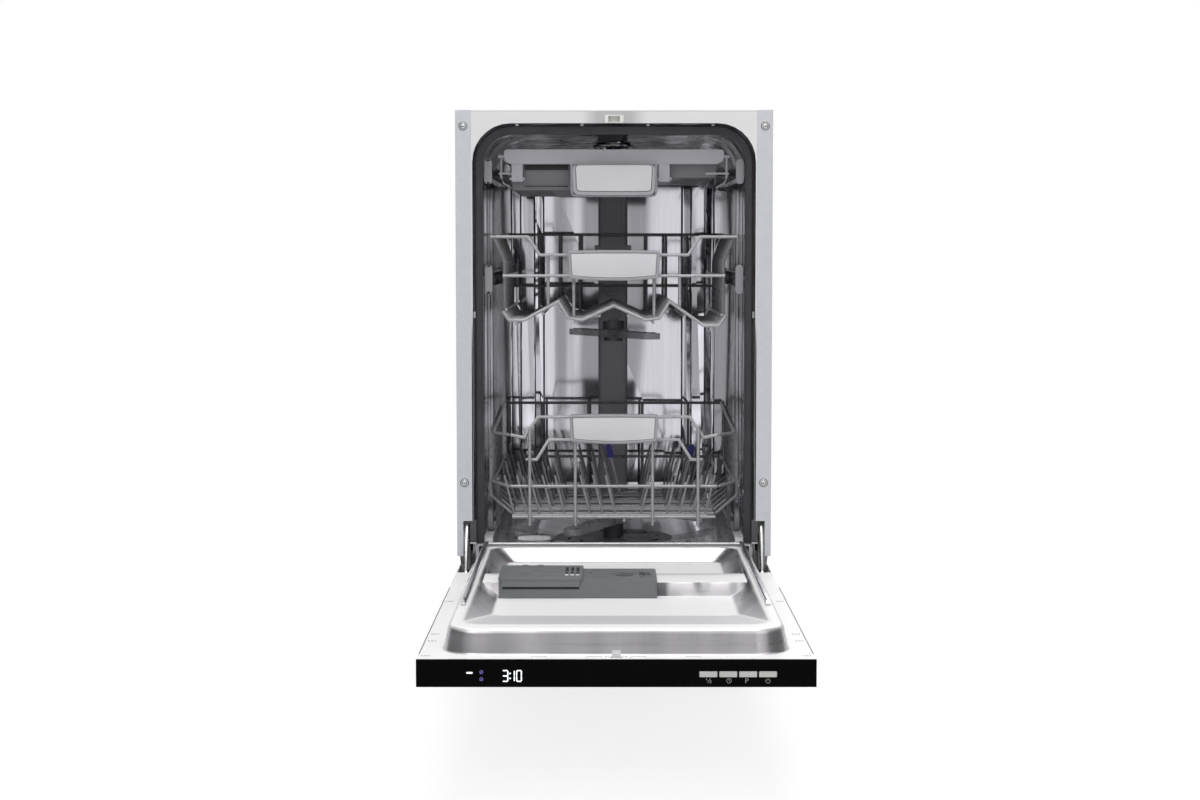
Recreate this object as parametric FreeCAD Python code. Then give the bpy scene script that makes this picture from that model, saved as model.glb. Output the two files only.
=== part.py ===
import FreeCAD, Part
import math
import os

from FreeCAD import Vector

# Slim built-in dishwasher, door open and level, three racks pushed in.
# X runs to the right seen from the front, Y runs into the cabinet, Z runs up from the floor.
# Every size below is in millimetres; y = 0 is the front plane of the cabinet until the export.

# Cabinet
CABINET_WIDTH = 448.0
CABINET_HEIGHT = 815.0
CABINET_DEPTH = 550.0
PANEL_SHEET = 1.0
PANEL_BOTTOM = 30.0
PANEL_SETBACK = 76.0
FLANGE_STEP = 2.0
FLANGE_TAIL = 9.0
FLANGE_BOTTOM = 181.5
NOTCH_TOP = 232.0
REAR_OPENING = 150.0
WORKTOP_HOLE = 2.5
WORKTOP_HOLE_Y = 16.0

# Tub
TUB_SIDE_GAP = 24.0
TUB_TOP_GAP = 19.0
TUB_BACK_GAP = 50.0
TUB_SHEET = 1.0
TUB_CORNER = 54.0
TUB_FLOOR = 186.0
LIP_Z = 195.0
LIP_Y = 42.0
LIP_ROLL = 2.0
APRON_BOTTOM = 128.0
BEAD_WIDTH = 18.0
BEAD_DEPTH = 3.0
BEAD_FOOT = 29.0
BEAD_HEAD = 31.0
SIDE_BEAD_COUNT = 5
REAR_BEAD_X = (122.0, 160.0)
SUMP_Y = 255.0
SUMP_RADIUS = 92.0
SUMP_DEPTH = 68.0
FUNNEL_RADIUS = 160.0
FUNNEL_DROP = 12.0
FUNNEL_SIDES = 24
FILTER_X = 40.0
FILTER_Y = 227.0
FILTER_RADIUS = 27.0
DUCT_HALF = 24.0
DUCT_DEPTH = 22.0
DUCT_PORT = 8.0
DUCT_PORT_RADIUS = 16.0
DUCT_BAND_DROP = 184.0
SALT_X = -118.0
SALT_Y = 122.0
SALT_RADIUS = 31.0
NECK_RADIUS = 26.5

# Door seal
GASKET_BAND = 12.8
GASKET_DEPTH = 13.0
GASKET_EDGE = 3.5
SEAT_GAP = 0.2
RUB_GAP = 1.0

# Door and its hinge
HINGE_Z = 155.5
HINGE_FORWARD = 12.5
HINGE_SPACE = 8.0
HINGE_PLATE = 3.4
HINGE_PIN_RADIUS = 4.0
HINGE_RUN = 0.06
HINGE_CUT = 38.0
DOOR_GAP = 2.0
DOOR_THICKNESS = 31.0
DOOR_TOP_DROP = 2.0
DOOR_TAIL = 45.0
DOOR_SIDE_GAP = 2.0
DOOR_SHEET = 1.0
FRONT_SCREW_RADIUS = 2.2
FRONT_SCREWS = ((-170.0, 170.0), (-570.0, -90.0))
PANEL_STRIP = 30.0
PANEL_FACE = 3.0
PAN_SIDE_GAP = 4.5
PAN_DRAFT = 4.0
PAN_RISE = 29.0
PAN_BORDER = 24.0
PAN_REAR = 14.0
PAN_CORNER = 40.0
PAN_REAR_CORNER = 14.0
PAN_STEPS = 5
RIM_ROUND = 6.0
FOOT_ROUND = 3.0
ROUND_STEPS = 3
RECESS_DEPTH = 21.0
RECESS_SIDE = 19.5
RECESS_SLOPE = 26.0
RECESS_FRONT = 34.0
RECESS_RAMP_END = -440.0
RECESS_REAR = 15.0
RECESS_REAR_SLOPE = 10.0
RECESS_CORNER = 24.0
RECESS_LOW_CORNER = 16.0
STEP_RISE = 17.0
STEP_FRONT = -296.0
STEP_BACK = -206.0
STEP_SLOPE = 7.0
ARM_THICK = 3.0

# Dispenser in the door
DISPENSER_X = (-149.0, 54.0)
DISPENSER_Y = (-314.0, -214.0)
DISPENSER_RISE = 2.0
DISPENSER_DEPTH = 50.0
LID_SPLIT = -41.0
LID_THICK = 4.0
CAP_X = 12.0
CAP_RADIUS = 17.0
CAP_RUN = 0.4

# Controls on the top edge of the door
BUTTON_X = (102.0, 124.0, 146.0, 168.0)
BUTTON_SIZE = (20.0, 6.5)
BUTTON_Z = 149.5
BUTTON_LENGTH = 11.0
CONTROL_GAP = 0.3
DISPLAY_X = (-166.0, -88.0)
KEYS_X = (84.0, 190.0)
TONGUE_HALF = 5.0

# Racks
WIRE = 4.4
TINE_WIRE = 3.4
WELD = 0.02
RACK_FRONT = 54.0
RACK_BACK = 440.0
RACK_GAP = 0.5
HANDLE_FRONT = 36.5
HANDLE_WALL = 3.0
HANDLE_CORNER = 8.0
HANDLE_BOW = 2.0
TRACK_Z = 202.5
TRACK_INSET = 18.0

# Sliding rails of the upper two racks
RAIL_INSET = 19.8
RAIL_FLANGE = 11.4
RAIL_SHEET = 1.2
ROLLER_RADIUS = 8.9
ROLLER_WIDTH = 4.6
ROLLER_GAP = 0.3
AXLE_HALF = 2.4
RAIL_FRONT = 48.0
RAIL_LENGTH = 400.0
TUB_ROLLER_Y = (62.0, 200.0)
RACK_ROLLER_Y = (290.0, 430.0)
UPPER_RAIL_DROP = 220.0
TRAY_RAIL_DROP = 66.0
CARRIER_INSET = 16.9
CARRIER_SHEET = 3.0

# Upper basket, its heights counted from the rail
UPPER_FLARE_OUT = 15.4
UPPER_BEND = 25.0
UPPER_RIM_RISE = (61.0, 67.0)
UPPER_MID_RISE = 5.0
UPPER_LINTEL_RISE = 35.0
UPPER_REAR_DROP = 16.0
UPPER_HANDLE_SIZE = (66.0, -2.0, 42.0)
UPPER_FRONT_X = (58.0, 95.0)
UPPER_REAR_X = (54.0, 86.0, 120.0)
UPPER_WAVE = (
    (-80.0, -32.0),
    (-66.0, -56.0),
    (-46.0, -59.0),
    (0.0, -38.0),
    (46.0, -59.0),
    (66.0, -56.0),
    (80.0, -32.0),
)
UPPER_SHELF = (-59.0, -67.0)
UPPER_SHELF_RISE = 13.0
UPPER_SHELF_EDGE = 9.0
UPPER_SHELF_WIDTH = 22.0
UPPER_ROWS = 9

# Lower basket
LOWER_INSET = 19.0
LOWER_SPLAY = 31.0
LOWER_FLOOR = 231.0
LOWER_BEND_Z = 258.0
LOWER_RIM = 278.0
LOWER_TOP_FRONT = 352.0
LOWER_TOP_REAR = 369.0
LOWER_HANDLE = (64.0, 339.0, 382.0)
LOWER_ROWS = 10
LOWER_CORNER_Y = 78.0
RIM_TURN_IN = 29.0
LOWER_REAR_X = (-116.0, -40.0, 48.0, 123.0)
WHEEL_RADIUS = 17.0
WHEEL_WIDTH = 7.0
WHEEL_ROWS = (1.5, 7.5)
WHEEL_SIDES = 20
AXLE_RADIUS = 3.0
AXLE_RUN = 0.06
BRACKET_THICK = 6.0
LEFT_TINES = (-146.0, 18.5, 9)
RIGHT_TINES = (39.7, 18.8, 6)
LEFT_SKIPPED = 5
RIGHT_SKIPPED = 1
TINE_LEAN = 14.0
FIXED_TINES = ((0.5, 59.0), (2.5, 70.0), (4.5, 76.0))
FOLD_ROW = (6.5, 80.0)
PIVOT_RUN = 0.1
GRIPS = ((11.2, -1), (105.5, 1))
FLOOR_TIE_X = (-118.0, -53.5, 15.0, 58.5, 125.5)

# Cutlery tray, its heights counted down from the top of its bar
TRAY_INSET = 22.2
TRAY_RISE = 32.0
TRAY_BAR = 21.0
TRAY_HANDLE_SIZE = (58.5, 64.0, 22.0)
TRAY_WALL = 2.5
INSERT_EDGE = 7.2
INSERT_MIDDLE = 4.0
INSERT_TOP = 14.0
INSERT_DEPTHS = (58.0, 40.0)
INSERT_TAPER = 5.0
TRAY_CLIP_X = ((-150.0, -128.0), (61.0, 83.0))
TRAY_CLIP_DROP = (22.0, 46.0)

# Spray arms
ARM_BLADE = 9.0
ARM_TIP = 14.0
ARM_HUB = 21.0
ARM_HUB_RISE = 3.0
SPIN_RUN = 0.08
LOWER_ARM_REACH = 168.0
LOWER_ARM_Z = 197.0
LOWER_ARM_TURN = 67.0
LOWER_POST = 11.0
UPPER_ARM_REACH = 118.0
UPPER_ARM_DROP = 91.0
UPPER_ARM_TURN = -58.0
UPPER_ARM_Y = 247.0
UPPER_POST = 9.0
FEED_DROP = 57.0
FEED_RADIUS = 11.0
SADDLE_HALF = 4.0
LIFT = 40.0

# Base and feet
BASE_FLOOR = 20.0
BASE_TOP = 120.0
BASE_WALL = 3.0
BASE_CLEAR = 0.5
BASE_SHOULDER = 21.0
BASE_FRONT = 64.0
BASE_STEP = 172.0
BASE_REAR_GAP = 4.0
FOOT_INSET = 46.0
FOOT_FRONT_Y = 100.0
FOOT_REAR_GAP = 40.0
FOOT_RADIUS = 20.0
STUD_RADIUS = 6.0
STUD_LENGTH = 92.0
STUD_RUN = 0.1
STUD_SIDES = 12
INLET_X = -120.0
INLET_Z = 90.0
INLET_RADIUS = 13.2
INLET_LENGTH = 22.0
DRAIN_X = 120.0
DRAIN_Z = 105.0
DRAIN_RADIUS = 10.0
DRAIN_LENGTH = 31.0
PUMP_Z = 132.0
DRUM_SIDES = 16
CORNER_STEPS = 3
ARCH_STEPS = 7
BORE_SIDES = 24

# Derived places
HALF = CABINET_WIDTH / 2
WEB = HALF - PANEL_SHEET
TUB_HALF = HALF - TUB_SIDE_GAP
TUB_CEILING = CABINET_HEIGHT - TUB_TOP_GAP
TUB_BACK = CABINET_DEPTH - TUB_BACK_GAP
FLANGE_WIDTH = TUB_SIDE_GAP - FLANGE_STEP
ARM_X = TUB_HALF + TUB_SHEET + HINGE_SPACE
HINGE_Y = -HINGE_FORWARD
HINGE_CUT_Y = HINGE_Y - HINGE_CUT
BORDER_Z = HINGE_Z + HINGE_FORWARD - DOOR_GAP
DOOR_BACK_Z = BORDER_Z - DOOR_THICKNESS
DOOR_FRONT = HINGE_Y - (CABINET_HEIGHT - DOOR_TOP_DROP - HINGE_Z)
DOOR_REAR = HINGE_Y + DOOR_TAIL
DOOR_HALF = HALF - DOOR_SIDE_GAP
PAN_HALF = TUB_HALF - PAN_SIDE_GAP
PAN_FRONT = DOOR_FRONT + PAN_BORDER
RIM_Z = BORDER_Z + PAN_RISE
RECESS_Z = RIM_Z - RECESS_DEPTH
STEP_Z = RECESS_Z + STEP_RISE
GASKET_Y = RIM_Z - HINGE_Z + HINGE_Y + RUB_GAP
DISPENSER_TOP = RIM_Z + DISPENSER_RISE
RAIL_X = TUB_HALF - RAIL_INSET
TRACK_X = TUB_HALF - TRACK_INSET
CARRIER_X = RAIL_X - CARRIER_INSET
UPPER_RAIL_Z = TUB_CEILING - UPPER_RAIL_DROP
TRAY_RAIL_Z = TUB_CEILING - TRAY_RAIL_DROP
WIRE_REACH = WIRE / 2 / math.cos(math.pi / 6) + WELD
CROSSING = WIRE / 2 + WIRE_REACH
UPPER_HALF = CARRIER_X - WIRE / 2 - RACK_GAP
UPPER_FLARE = UPPER_HALF + UPPER_FLARE_OUT
UPPER_BEND_Z = UPPER_RAIL_Z + UPPER_BEND
UPPER_RIM_FRONT = UPPER_RAIL_Z + UPPER_RIM_RISE[0]
UPPER_RIM_REAR = UPPER_RAIL_Z + UPPER_RIM_RISE[1]
UPPER_MID_Z = UPPER_RAIL_Z + UPPER_MID_RISE
UPPER_LINTEL_Z = UPPER_RAIL_Z + UPPER_LINTEL_RISE
UPPER_ARM_Z = UPPER_RAIL_Z - UPPER_ARM_DROP
FEED_Z = UPPER_RAIL_Z - FEED_DROP
LOWER_HALF = TUB_HALF - LOWER_INSET
LOWER_FLOOR_HALF = LOWER_HALF - LOWER_SPLAY
RIM_TURN = LOWER_HALF - RIM_TURN_IN
TRAY_HALF = RAIL_X - TRAY_INSET
TRAY_TOP = TRAY_RAIL_Z + TRAY_RISE
BASE_HALF_FRONT = HALF - BASE_SHOULDER
BASE_HALF_REAR = WEB - BASE_CLEAR
BASE_REAR = CABINET_DEPTH - BASE_REAR_GAP
FOOT_X = HALF - FOOT_INSET
FOOT_Y = (FOOT_FRONT_Y, CABINET_DEPTH - FOOT_REAR_GAP)
FRONT_Y = -(DOOR_FRONT + CABINET_DEPTH) / 2
UP = Vector(0, 0, 1)
INWARD = Vector(0, 1, 0)
RIGHT = Vector(1, 0, 0)


def block(x0, x1, y0, y1, z0, z1):
    """Square-edged block between two corners."""
    return Part.makeBox(x1 - x0, y1 - y0, z1 - z0, Vector(x0, y0, z0))


def rod(x, y, z, radius, length, axis=UP):
    """Round bar from a point along an axis."""
    return Part.makeCylinder(radius, length, Vector(x, y, z), axis)


def turns(sides):
    """Angles of the corners of a regular outline."""
    return [2 * math.pi * (k + 0.5) / sides for k in range(sides)]


def drum(x, y, z, radius, length, axis=UP, sides=DRUM_SIDES):
    """Bar with many flats, for rounds that are small, hidden or repeated."""
    across = INWARD if abs(axis.x) > 0.5 else RIGHT
    other = axis.cross(across)
    ring = [Vector(x, y, z) + (across * math.cos(t) + other * math.sin(t)) * radius for t in turns(sides)]
    return solid_between([ring, [p + axis * length for p in ring]])


def bore(x, y, z, radius, length, axis=UP):
    """Many-sided bore that clears a round shaft of the given radius."""
    return drum(x, y, z, radius / math.cos(math.pi / BORE_SIDES), length, axis, BORE_SIDES)


def turned(x, y, profile, sides=DRUM_SIDES):
    """Upright turned form with many flats; the profile lists radius and height from below."""
    rings = []
    for radius, z in profile:
        rings.append([Vector(x + radius * math.cos(t), y + radius * math.sin(t), z) for t in turns(sides)])
    return solid_between(rings)


def solid_between(rings):
    """Solid whose flat sides join each ring of corners to the next."""
    count = len(rings[0])
    faces = [Part.Face(Part.makePolygon(ring + [ring[0]])) for ring in (rings[0], rings[-1])]
    for low, high in zip(rings, rings[1:]):
        for k in range(count):
            after = (k + 1) % count
            corners = [low[k], low[after], high[after], high[k], low[k]]
            faces.append(Part.Face(Part.makePolygon(corners)))
    solid = Part.makeSolid(Part.makeShell(faces))
    return solid if solid.Volume > 0 else solid.reversed()


def rounded(x0, x1, y0, y1, front, rear, steps=CORNER_STEPS):
    """Plan corners of a rectangle, rounded in steps to one radius at the front and one at the rear."""
    centres = [
        (x0 + front, y0 + front, front, 180),
        (x1 - front, y0 + front, front, 270),
        (x1 - rear, y1 - rear, rear, 0),
        (x0 + rear, y1 - rear, rear, 90),
    ]
    points = []
    for x, y, radius, start in centres:
        for angle in spread(start, start + 90, steps + 1):
            turn = math.radians(angle)
            points.append((x + radius * math.cos(turn), y + radius * math.sin(turn)))
    return points


def pad(x0, x1, y0, y1, z0, z1, radius):
    """Level block with rounded upright corners."""
    plan = rounded(x0, x1, y0, y1, radius, radius)
    return solid_between([[Vector(x, y, z) for x, y in plan] for z in (z0, z1)])


def face_plate(x0, x1, z0, z1, y0, y1, radius):
    """Upright plate facing the front, with rounded corners."""
    plan = rounded(x0, x1, z0, z1, radius, radius)
    return solid_between([[Vector(x, y, z) for x, z in plan] for y in (y0, y1)])


def sharp_slab(points, along):
    """Outline with square corners swept straight along a vector."""
    corners = [Vector(*p) for p in points]
    return Part.Face(Part.makePolygon(corners + [corners[0]])).extrude(Vector(*along))


def arch(half, z0, z1, radius, y0, y1):
    """Block with its two upper long edges rounded in steps."""
    quarter = [math.radians(a) for a in spread(0, 90, ARCH_STEPS + 1)]
    right = [(half, z0)]
    for a in quarter:
        right.append((half - radius + radius * math.cos(a), z1 - radius + radius * math.sin(a)))
    plan = right + [(-x, z) for x, z in reversed(right)]
    return solid_between([[Vector(x, y, z) for x, z in plan] for y in (y0, y1)])


def rectangle(centre, u, v):
    """Corners of a rectangle given by two half-side vectors."""
    return [centre - u - v, centre + u - v, centre + u + v, centre - u + v]


def bead(centre, across, along, out):
    """Pressed bead with tapered walls, raised along the vector out."""
    taper = out.Length
    narrow = across * ((across.Length - taper) / across.Length)
    short = along * ((along.Length - taper) / along.Length)
    return solid_between([rectangle(centre, across, along), rectangle(centre + out, narrow, short)])


def pressed(sheet, thickness, spots):
    """Sheet with beads pressed out of it; each spot is centre, across, along, direction."""
    grow = thickness * math.sqrt(2) / 2
    raised, sunk = [], []
    for centre, across, along, way in spots:
        wide = across * (1 + grow / across.Length)
        long = along * (1 + grow / along.Length)
        depth = way * BEAD_DEPTH
        raised.append(bead(centre + way * (thickness / 2), wide, long, depth + way * (thickness / 2)))
        sunk.append(bead(centre - way * 0.01, across, along, depth))
    return joined([sheet] + raised).cut(sunk)


def mirrored(shape):
    """Copy on the other side of the middle plane."""
    return shape.mirror(Vector(0, 0, 0), RIGHT)


def pair(shape):
    """A piece and its mirror copy, as one group."""
    return Part.Compound([shape, mirrored(shape)])


def joined(shapes):
    """Pieces welded into one solid."""
    return shapes[0].multiFuse(shapes[1:])


def hexagon(diameter):
    """Corners of a six-sided section with the given distance across its flats."""
    reach = diameter / 2 / math.cos(math.pi / 6)
    return [(reach * math.cos(t), reach * math.sin(t)) for t in turns(6)]


def wire_run(points, diameter):
    """Rack wire with six flats, mitred where a flat run of points bends."""
    path = [Vector(*p) for p in points]
    steps = [(b - a).normalize() for a, b in zip(path, path[1:])]
    normal = Vector(0, 0, 0)
    for a, b in zip(steps, steps[1:]):
        normal = normal if normal.Length > 1e-6 else a.cross(b)
    if normal.Length < 1e-6:
        normal = steps[0].cross(UP if abs(steps[0].z) < 0.9 else INWARD)
    normal.normalize()
    rings = []
    for i, here in enumerate(path):
        before = normal.cross(steps[max(i - 1, 0)])
        after = normal.cross(steps[min(i, len(steps) - 1)])
        side = (before + after) * (1 / (1 + before.dot(after)))
        rings.append([here + side * u + normal * v for u, v in hexagon(diameter)])
    return solid_between(rings)


def spread(first, last, count):
    """Evenly spaced places from first to last."""
    return [first + (last - first) * i / (count - 1) for i in range(count)]


def bead_centre():
    """Height of the middle of the tub's beads and their half length."""
    low, high = TUB_FLOOR + BEAD_FOOT, TUB_CEILING - BEAD_HEAD
    return (low + high) / 2, (high - low) / 2


def tub_wrap():
    """Sides and ceiling of the tub in one bent sheet, with the flange around its mouth."""
    inner = arch(TUB_HALF, 0, TUB_CEILING, TUB_CORNER, -1, TUB_BACK)
    shell = arch(
        TUB_HALF + TUB_SHEET,
        TUB_FLOOR - TUB_SHEET,
        TUB_CEILING + TUB_SHEET,
        TUB_CORNER + TUB_SHEET,
        PANEL_SHEET,
        TUB_BACK,
    )
    top = CABINET_HEIGHT - 2 * PANEL_SHEET
    flange = block(-WEB + 1, WEB - 1, PANEL_SHEET, PANEL_SHEET + TUB_SHEET, TUB_FLOOR - TUB_SHEET, top)
    wrap = shell.fuse(flange).cut(inner)
    notch = block(TUB_HALF + TUB_SHEET, HALF, 0, PANEL_SHEET + TUB_SHEET, 0, NOTCH_TOP)
    wrap = wrap.cut([notch, mirrored(notch), striker_slot()])
    middle, half = bead_centre()
    spots = []
    for y in spread(2 * TUB_CORNER, TUB_BACK - TUB_CORNER, SIDE_BEAD_COUNT):
        for side in (-1, 1):
            centre = Vector(side * TUB_HALF, y, middle)
            spots.append((centre, Vector(0, BEAD_WIDTH / 2, 0), Vector(0, 0, half - 25), Vector(side, 0, 0)))
    return pressed(wrap, TUB_SHEET, spots)


def striker_slot():
    """Slot in the top flange that takes the door's tongue."""
    half = TONGUE_HALF + 3
    return block(-half, half, -3, 5, TUB_CEILING + 1.8, TUB_CEILING + 10)


def tub_back_wall():
    """Rear wall of the tub with upright pressed beads."""
    wall = arch(
        TUB_HALF + TUB_SHEET,
        TUB_FLOOR - TUB_SHEET,
        TUB_CEILING + TUB_SHEET,
        TUB_CORNER + TUB_SHEET,
        TUB_BACK,
        TUB_BACK + TUB_SHEET,
    )
    middle, half = bead_centre()
    spots = []
    for x in [side * x for side in (-1, 1) for x in REAR_BEAD_X]:
        spots.append((Vector(x, TUB_BACK, middle), Vector(BEAD_WIDTH / 2, 0, 0), Vector(0, 0, half), INWARD))
    return pressed(wall, TUB_SHEET, spots)


def tub_floor():
    """Floor with a funnel to the sump, the upturned front lip and the apron below it."""
    low = TUB_FLOOR - TUB_SHEET
    drop = FUNNEL_DROP
    floor = block(-TUB_HALF, TUB_HALF, LIP_Y, TUB_BACK, low, TUB_FLOOR)
    under = [(SUMP_RADIUS, low - drop), (FUNNEL_RADIUS, low), (FUNNEL_RADIUS, TUB_FLOOR)]
    dish = turned(0, SUMP_Y, under, FUNNEL_SIDES)
    over = [(SUMP_RADIUS, TUB_FLOOR - drop), (FUNNEL_RADIUS, TUB_FLOOR), (FUNNEL_RADIUS, TUB_FLOOR + 1)]
    hollow = turned(0, SUMP_Y, over, FUNNEL_SIDES)
    mouth = drum(0, SUMP_Y, low - drop - 1, SUMP_RADIUS, drop + 2, UP, FUNNEL_SIDES)
    lip = block(-TUB_HALF, TUB_HALF, LIP_Y, LIP_Y + TUB_SHEET, APRON_BOTTOM, LIP_Z - LIP_ROLL)
    roll = drum(-TUB_HALF, LIP_Y + LIP_ROLL, LIP_Z - LIP_ROLL, LIP_ROLL, 2 * TUB_HALF, RIGHT)
    neck = drum(SALT_X, SALT_Y, low - drop, NECK_RADIUS + RACK_GAP, drop + 5)
    wide, front = DUCT_HALF + CONTROL_GAP, TUB_BACK - DUCT_DEPTH - CONTROL_GAP
    duct = block(-wide, wide, front, TUB_BACK + 1, low - 1, TUB_FLOOR + 1)
    return joined([floor, dish, lip, roll]).cut([hollow, mouth, neck, duct])


def door_gasket():
    """Rubber profile around the sides and top of the mouth, just behind the closed door."""
    outer = arch(
        TUB_HALF - SEAT_GAP,
        LIP_Z + 2,
        TUB_CEILING - SEAT_GAP,
        TUB_CORNER - SEAT_GAP,
        GASKET_Y,
        GASKET_Y + GASKET_DEPTH,
    )
    inner = arch(
        TUB_HALF - GASKET_BAND,
        0,
        TUB_CEILING - GASKET_BAND - 1,
        TUB_CORNER - GASKET_BAND,
        GASKET_Y - 1,
        GASKET_Y + GASKET_DEPTH + 1,
    )
    ring = outer.cut(inner)
    front = [e for e in ring.Edges if e.BoundBox.YMax < GASKET_Y + 0.1 and e.BoundBox.ZMax > LIP_Z + 3]
    return ring.makeChamfer(GASKET_EDGE, front)


def lower_seal():
    """Rubber strip under the front lip of the tub."""
    half = TUB_HALF - PAN_SIDE_GAP
    section = [(0, -15), (0, -5), (-4, -5), (-6.5, -8), (-6.5, -12)]
    corners = [(-half, LIP_Y + u, LIP_Z + v) for u, v in section]
    return sharp_slab(corners, (2 * half, 0, 0))


def side_panel():
    """Right side panel with its folded front flange and the cut-back for the hinge."""
    outer = [
        (WEB, 0, FLANGE_BOTTOM),
        (WEB, 0, CABINET_HEIGHT),
        (WEB, CABINET_DEPTH - PANEL_SHEET, CABINET_HEIGHT),
        (WEB, CABINET_DEPTH - PANEL_SHEET, PANEL_BOTTOM),
        (WEB, PANEL_SETBACK, PANEL_BOTTOM),
        (WEB, PANEL_SETBACK, FLANGE_BOTTOM - 30),
        (WEB, PANEL_SETBACK - 30, FLANGE_BOTTOM),
    ]
    web = sharp_slab(outer, (PANEL_SHEET, 0, 0))
    edge = HALF - FLANGE_WIDTH
    flange = [
        (edge, 0, NOTCH_TOP),
        (HALF - FLANGE_TAIL, 0, NOTCH_TOP),
        (HALF - FLANGE_TAIL, 0, FLANGE_BOTTOM),
        (HALF, 0, FLANGE_BOTTOM),
        (HALF, 0, CABINET_HEIGHT),
        (edge, 0, CABINET_HEIGHT),
    ]
    front = sharp_slab(flange, (0, PANEL_SHEET, 0))
    back_y = CABINET_DEPTH - 2 * PANEL_SHEET
    back = block(HALF - 18, HALF, back_y, back_y + PANEL_SHEET, REAR_OPENING, CABINET_HEIGHT - 3)
    middle, half = bead_centre()
    spots = []
    for y in spread(2 * PANEL_SETBACK, CABINET_DEPTH - 2 * PANEL_SETBACK, 2):
        centre = Vector(HALF, y, middle)
        spots.append((centre, Vector(0, BEAD_WIDTH, 0), Vector(0, 0, half - 30), Vector(-1, 0, 0)))
    return pressed(joined([web, front, back]), PANEL_SHEET, spots)


def top_panel():
    """Sheet over the tub, with stiffening beads and two holes for the worktop screws."""
    half = WEB - SEAT_GAP
    top = CABINET_HEIGHT - PANEL_SHEET
    sheet = block(-half, half, PANEL_SHEET, CABINET_DEPTH - PANEL_SHEET, top - PANEL_SHEET, top)
    holes = [rod(x, WORKTOP_HOLE_Y, top - 5, WORKTOP_HOLE, 10) for x in (20 - TUB_HALF, TUB_HALF - 20)]
    middle = CABINET_DEPTH / 2
    spots = []
    for x in (-120, 0, 120):
        centre = Vector(x, middle, top)
        spots.append((centre, Vector(BEAD_WIDTH, 0, 0), Vector(0, middle - 80, 0), Vector(0, 0, -1)))
    return pressed(sheet.cut(holes), PANEL_SHEET, spots)


def rear_panel():
    """Back sheet, open at the bottom where the water and waste connections are."""
    y = CABINET_DEPTH - PANEL_SHEET
    sheet = block(-HALF, HALF, y, CABINET_DEPTH, REAR_OPENING, CABINET_HEIGHT - 2 * PANEL_SHEET)
    middle, half = bead_centre()
    spots = []
    for x in (-110, 110):
        centre = Vector(x, CABINET_DEPTH, middle)
        spots.append((centre, Vector(BEAD_WIDTH, 0, 0), Vector(0, 0, half - 30), Vector(0, -1, 0)))
    return pressed(sheet, PANEL_SHEET, spots)


def door_striker():
    """Catch on the top flange, with the slot that takes the door's tongue."""
    z0 = TUB_CEILING + 0.5
    half = TONGUE_HALF + 8.5
    return face_plate(-half, half, z0, z0 + 11, -1.5, PANEL_SHEET, 2).cut(striker_slot())


def water_duct():
    """Upright water duct on the rear wall, with its clamp, two docking ports and the ceiling branch."""
    front = TUB_BACK - DUCT_DEPTH
    top = TUB_CEILING - 2
    body = pad(-DUCT_HALF, DUCT_HALF, front, TUB_BACK, TUB_FLOOR - 4, top, 5)
    recess = block(-15, 15, front - 1, front + 2, top - 154, top - 34)
    branch = block(-14, 14, SUMP_Y, front, top - 10, top)
    band_z = TUB_CEILING - DUCT_BAND_DROP
    band = block(-DUCT_HALF - 6, DUCT_HALF + 6, front - 4, front, band_z, band_z + 14)
    parts = [body.cut(recess), branch, band]
    for z in (FEED_Z, FEED_Z + LIFT):
        ring = drum(0, front - DUCT_PORT, z, DUCT_PORT_RADIUS, DUCT_PORT, INWARD)
        parts.append(ring.cut(drum(0, front - DUCT_PORT - 1, z, FEED_RADIUS, DUCT_PORT + 2, INWARD)))
    return Part.Compound(parts)


def ceiling_sprayer():
    """Round spray head under the ceiling branch."""
    low = TUB_CEILING - 27
    profile = [(20, low), (32, low + 6), (32, low + 9), (12, low + 12), (12, low + 15)]
    return turned(0, SUMP_Y, profile, 20)


def sump_top():
    """Height of the sump's rim, just under the mouth of the funnel."""
    return TUB_FLOOR - TUB_SHEET - FUNNEL_DROP - SEAT_GAP


def sump():
    """Moulded sump under the floor, with the post that carries the lower spray arm."""
    top = sump_top()
    low = top - SUMP_DEPTH
    cup = drum(0, SUMP_Y, low, SUMP_RADIUS - 6, SUMP_DEPTH, UP, FUNNEL_SIDES)
    rim = drum(0, SUMP_Y, top - 4, SUMP_RADIUS + 12, 4, UP, FUNNEL_SIDES)
    hollow = drum(0, SUMP_Y, low + 4, SUMP_RADIUS - 10, SUMP_DEPTH, UP, FUNNEL_SIDES)
    outlet = drum(0, SUMP_Y + 60, top - 40, 16, 50, INWARD)
    drain = drum(-60, SUMP_Y, top - 50, 12, 45, RIGHT * -1)
    shoulder = drum(0, SUMP_Y, low + 4, LOWER_POST + 5, LOWER_ARM_Z - 0.4 - low - 4)
    post = rod(0, SUMP_Y, LOWER_ARM_Z - 2, LOWER_POST, ARM_BLADE)
    return Part.Compound([joined([cup, rim, outlet, drain]).cut(hollow), shoulder.fuse(post)])


def filter_plate():
    """Fine filter disc over the sump, pierced by a ring of slots."""
    z = sump_top() + SEAT_GAP
    disc = drum(0, SUMP_Y, z, SUMP_RADIUS - 0.8, 1.5, UP, FUNNEL_SIDES)
    holes = [drum(0, SUMP_Y, z - 1, LOWER_POST + 5.5, 5)]
    holes.append(drum(FILTER_X, FILTER_Y, z - 1, FILTER_RADIUS + 3, 5))
    for turn in turns(12):
        x, y = 70 * math.cos(turn), SUMP_Y + 70 * math.sin(turn)
        if math.hypot(x - FILTER_X, y - FILTER_Y) > FILTER_RADIUS + 14:
            holes.append(block(x - 3, x + 3, y - 8, y + 8, z - 1, z + 5))
    return disc.cut(holes)


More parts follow.
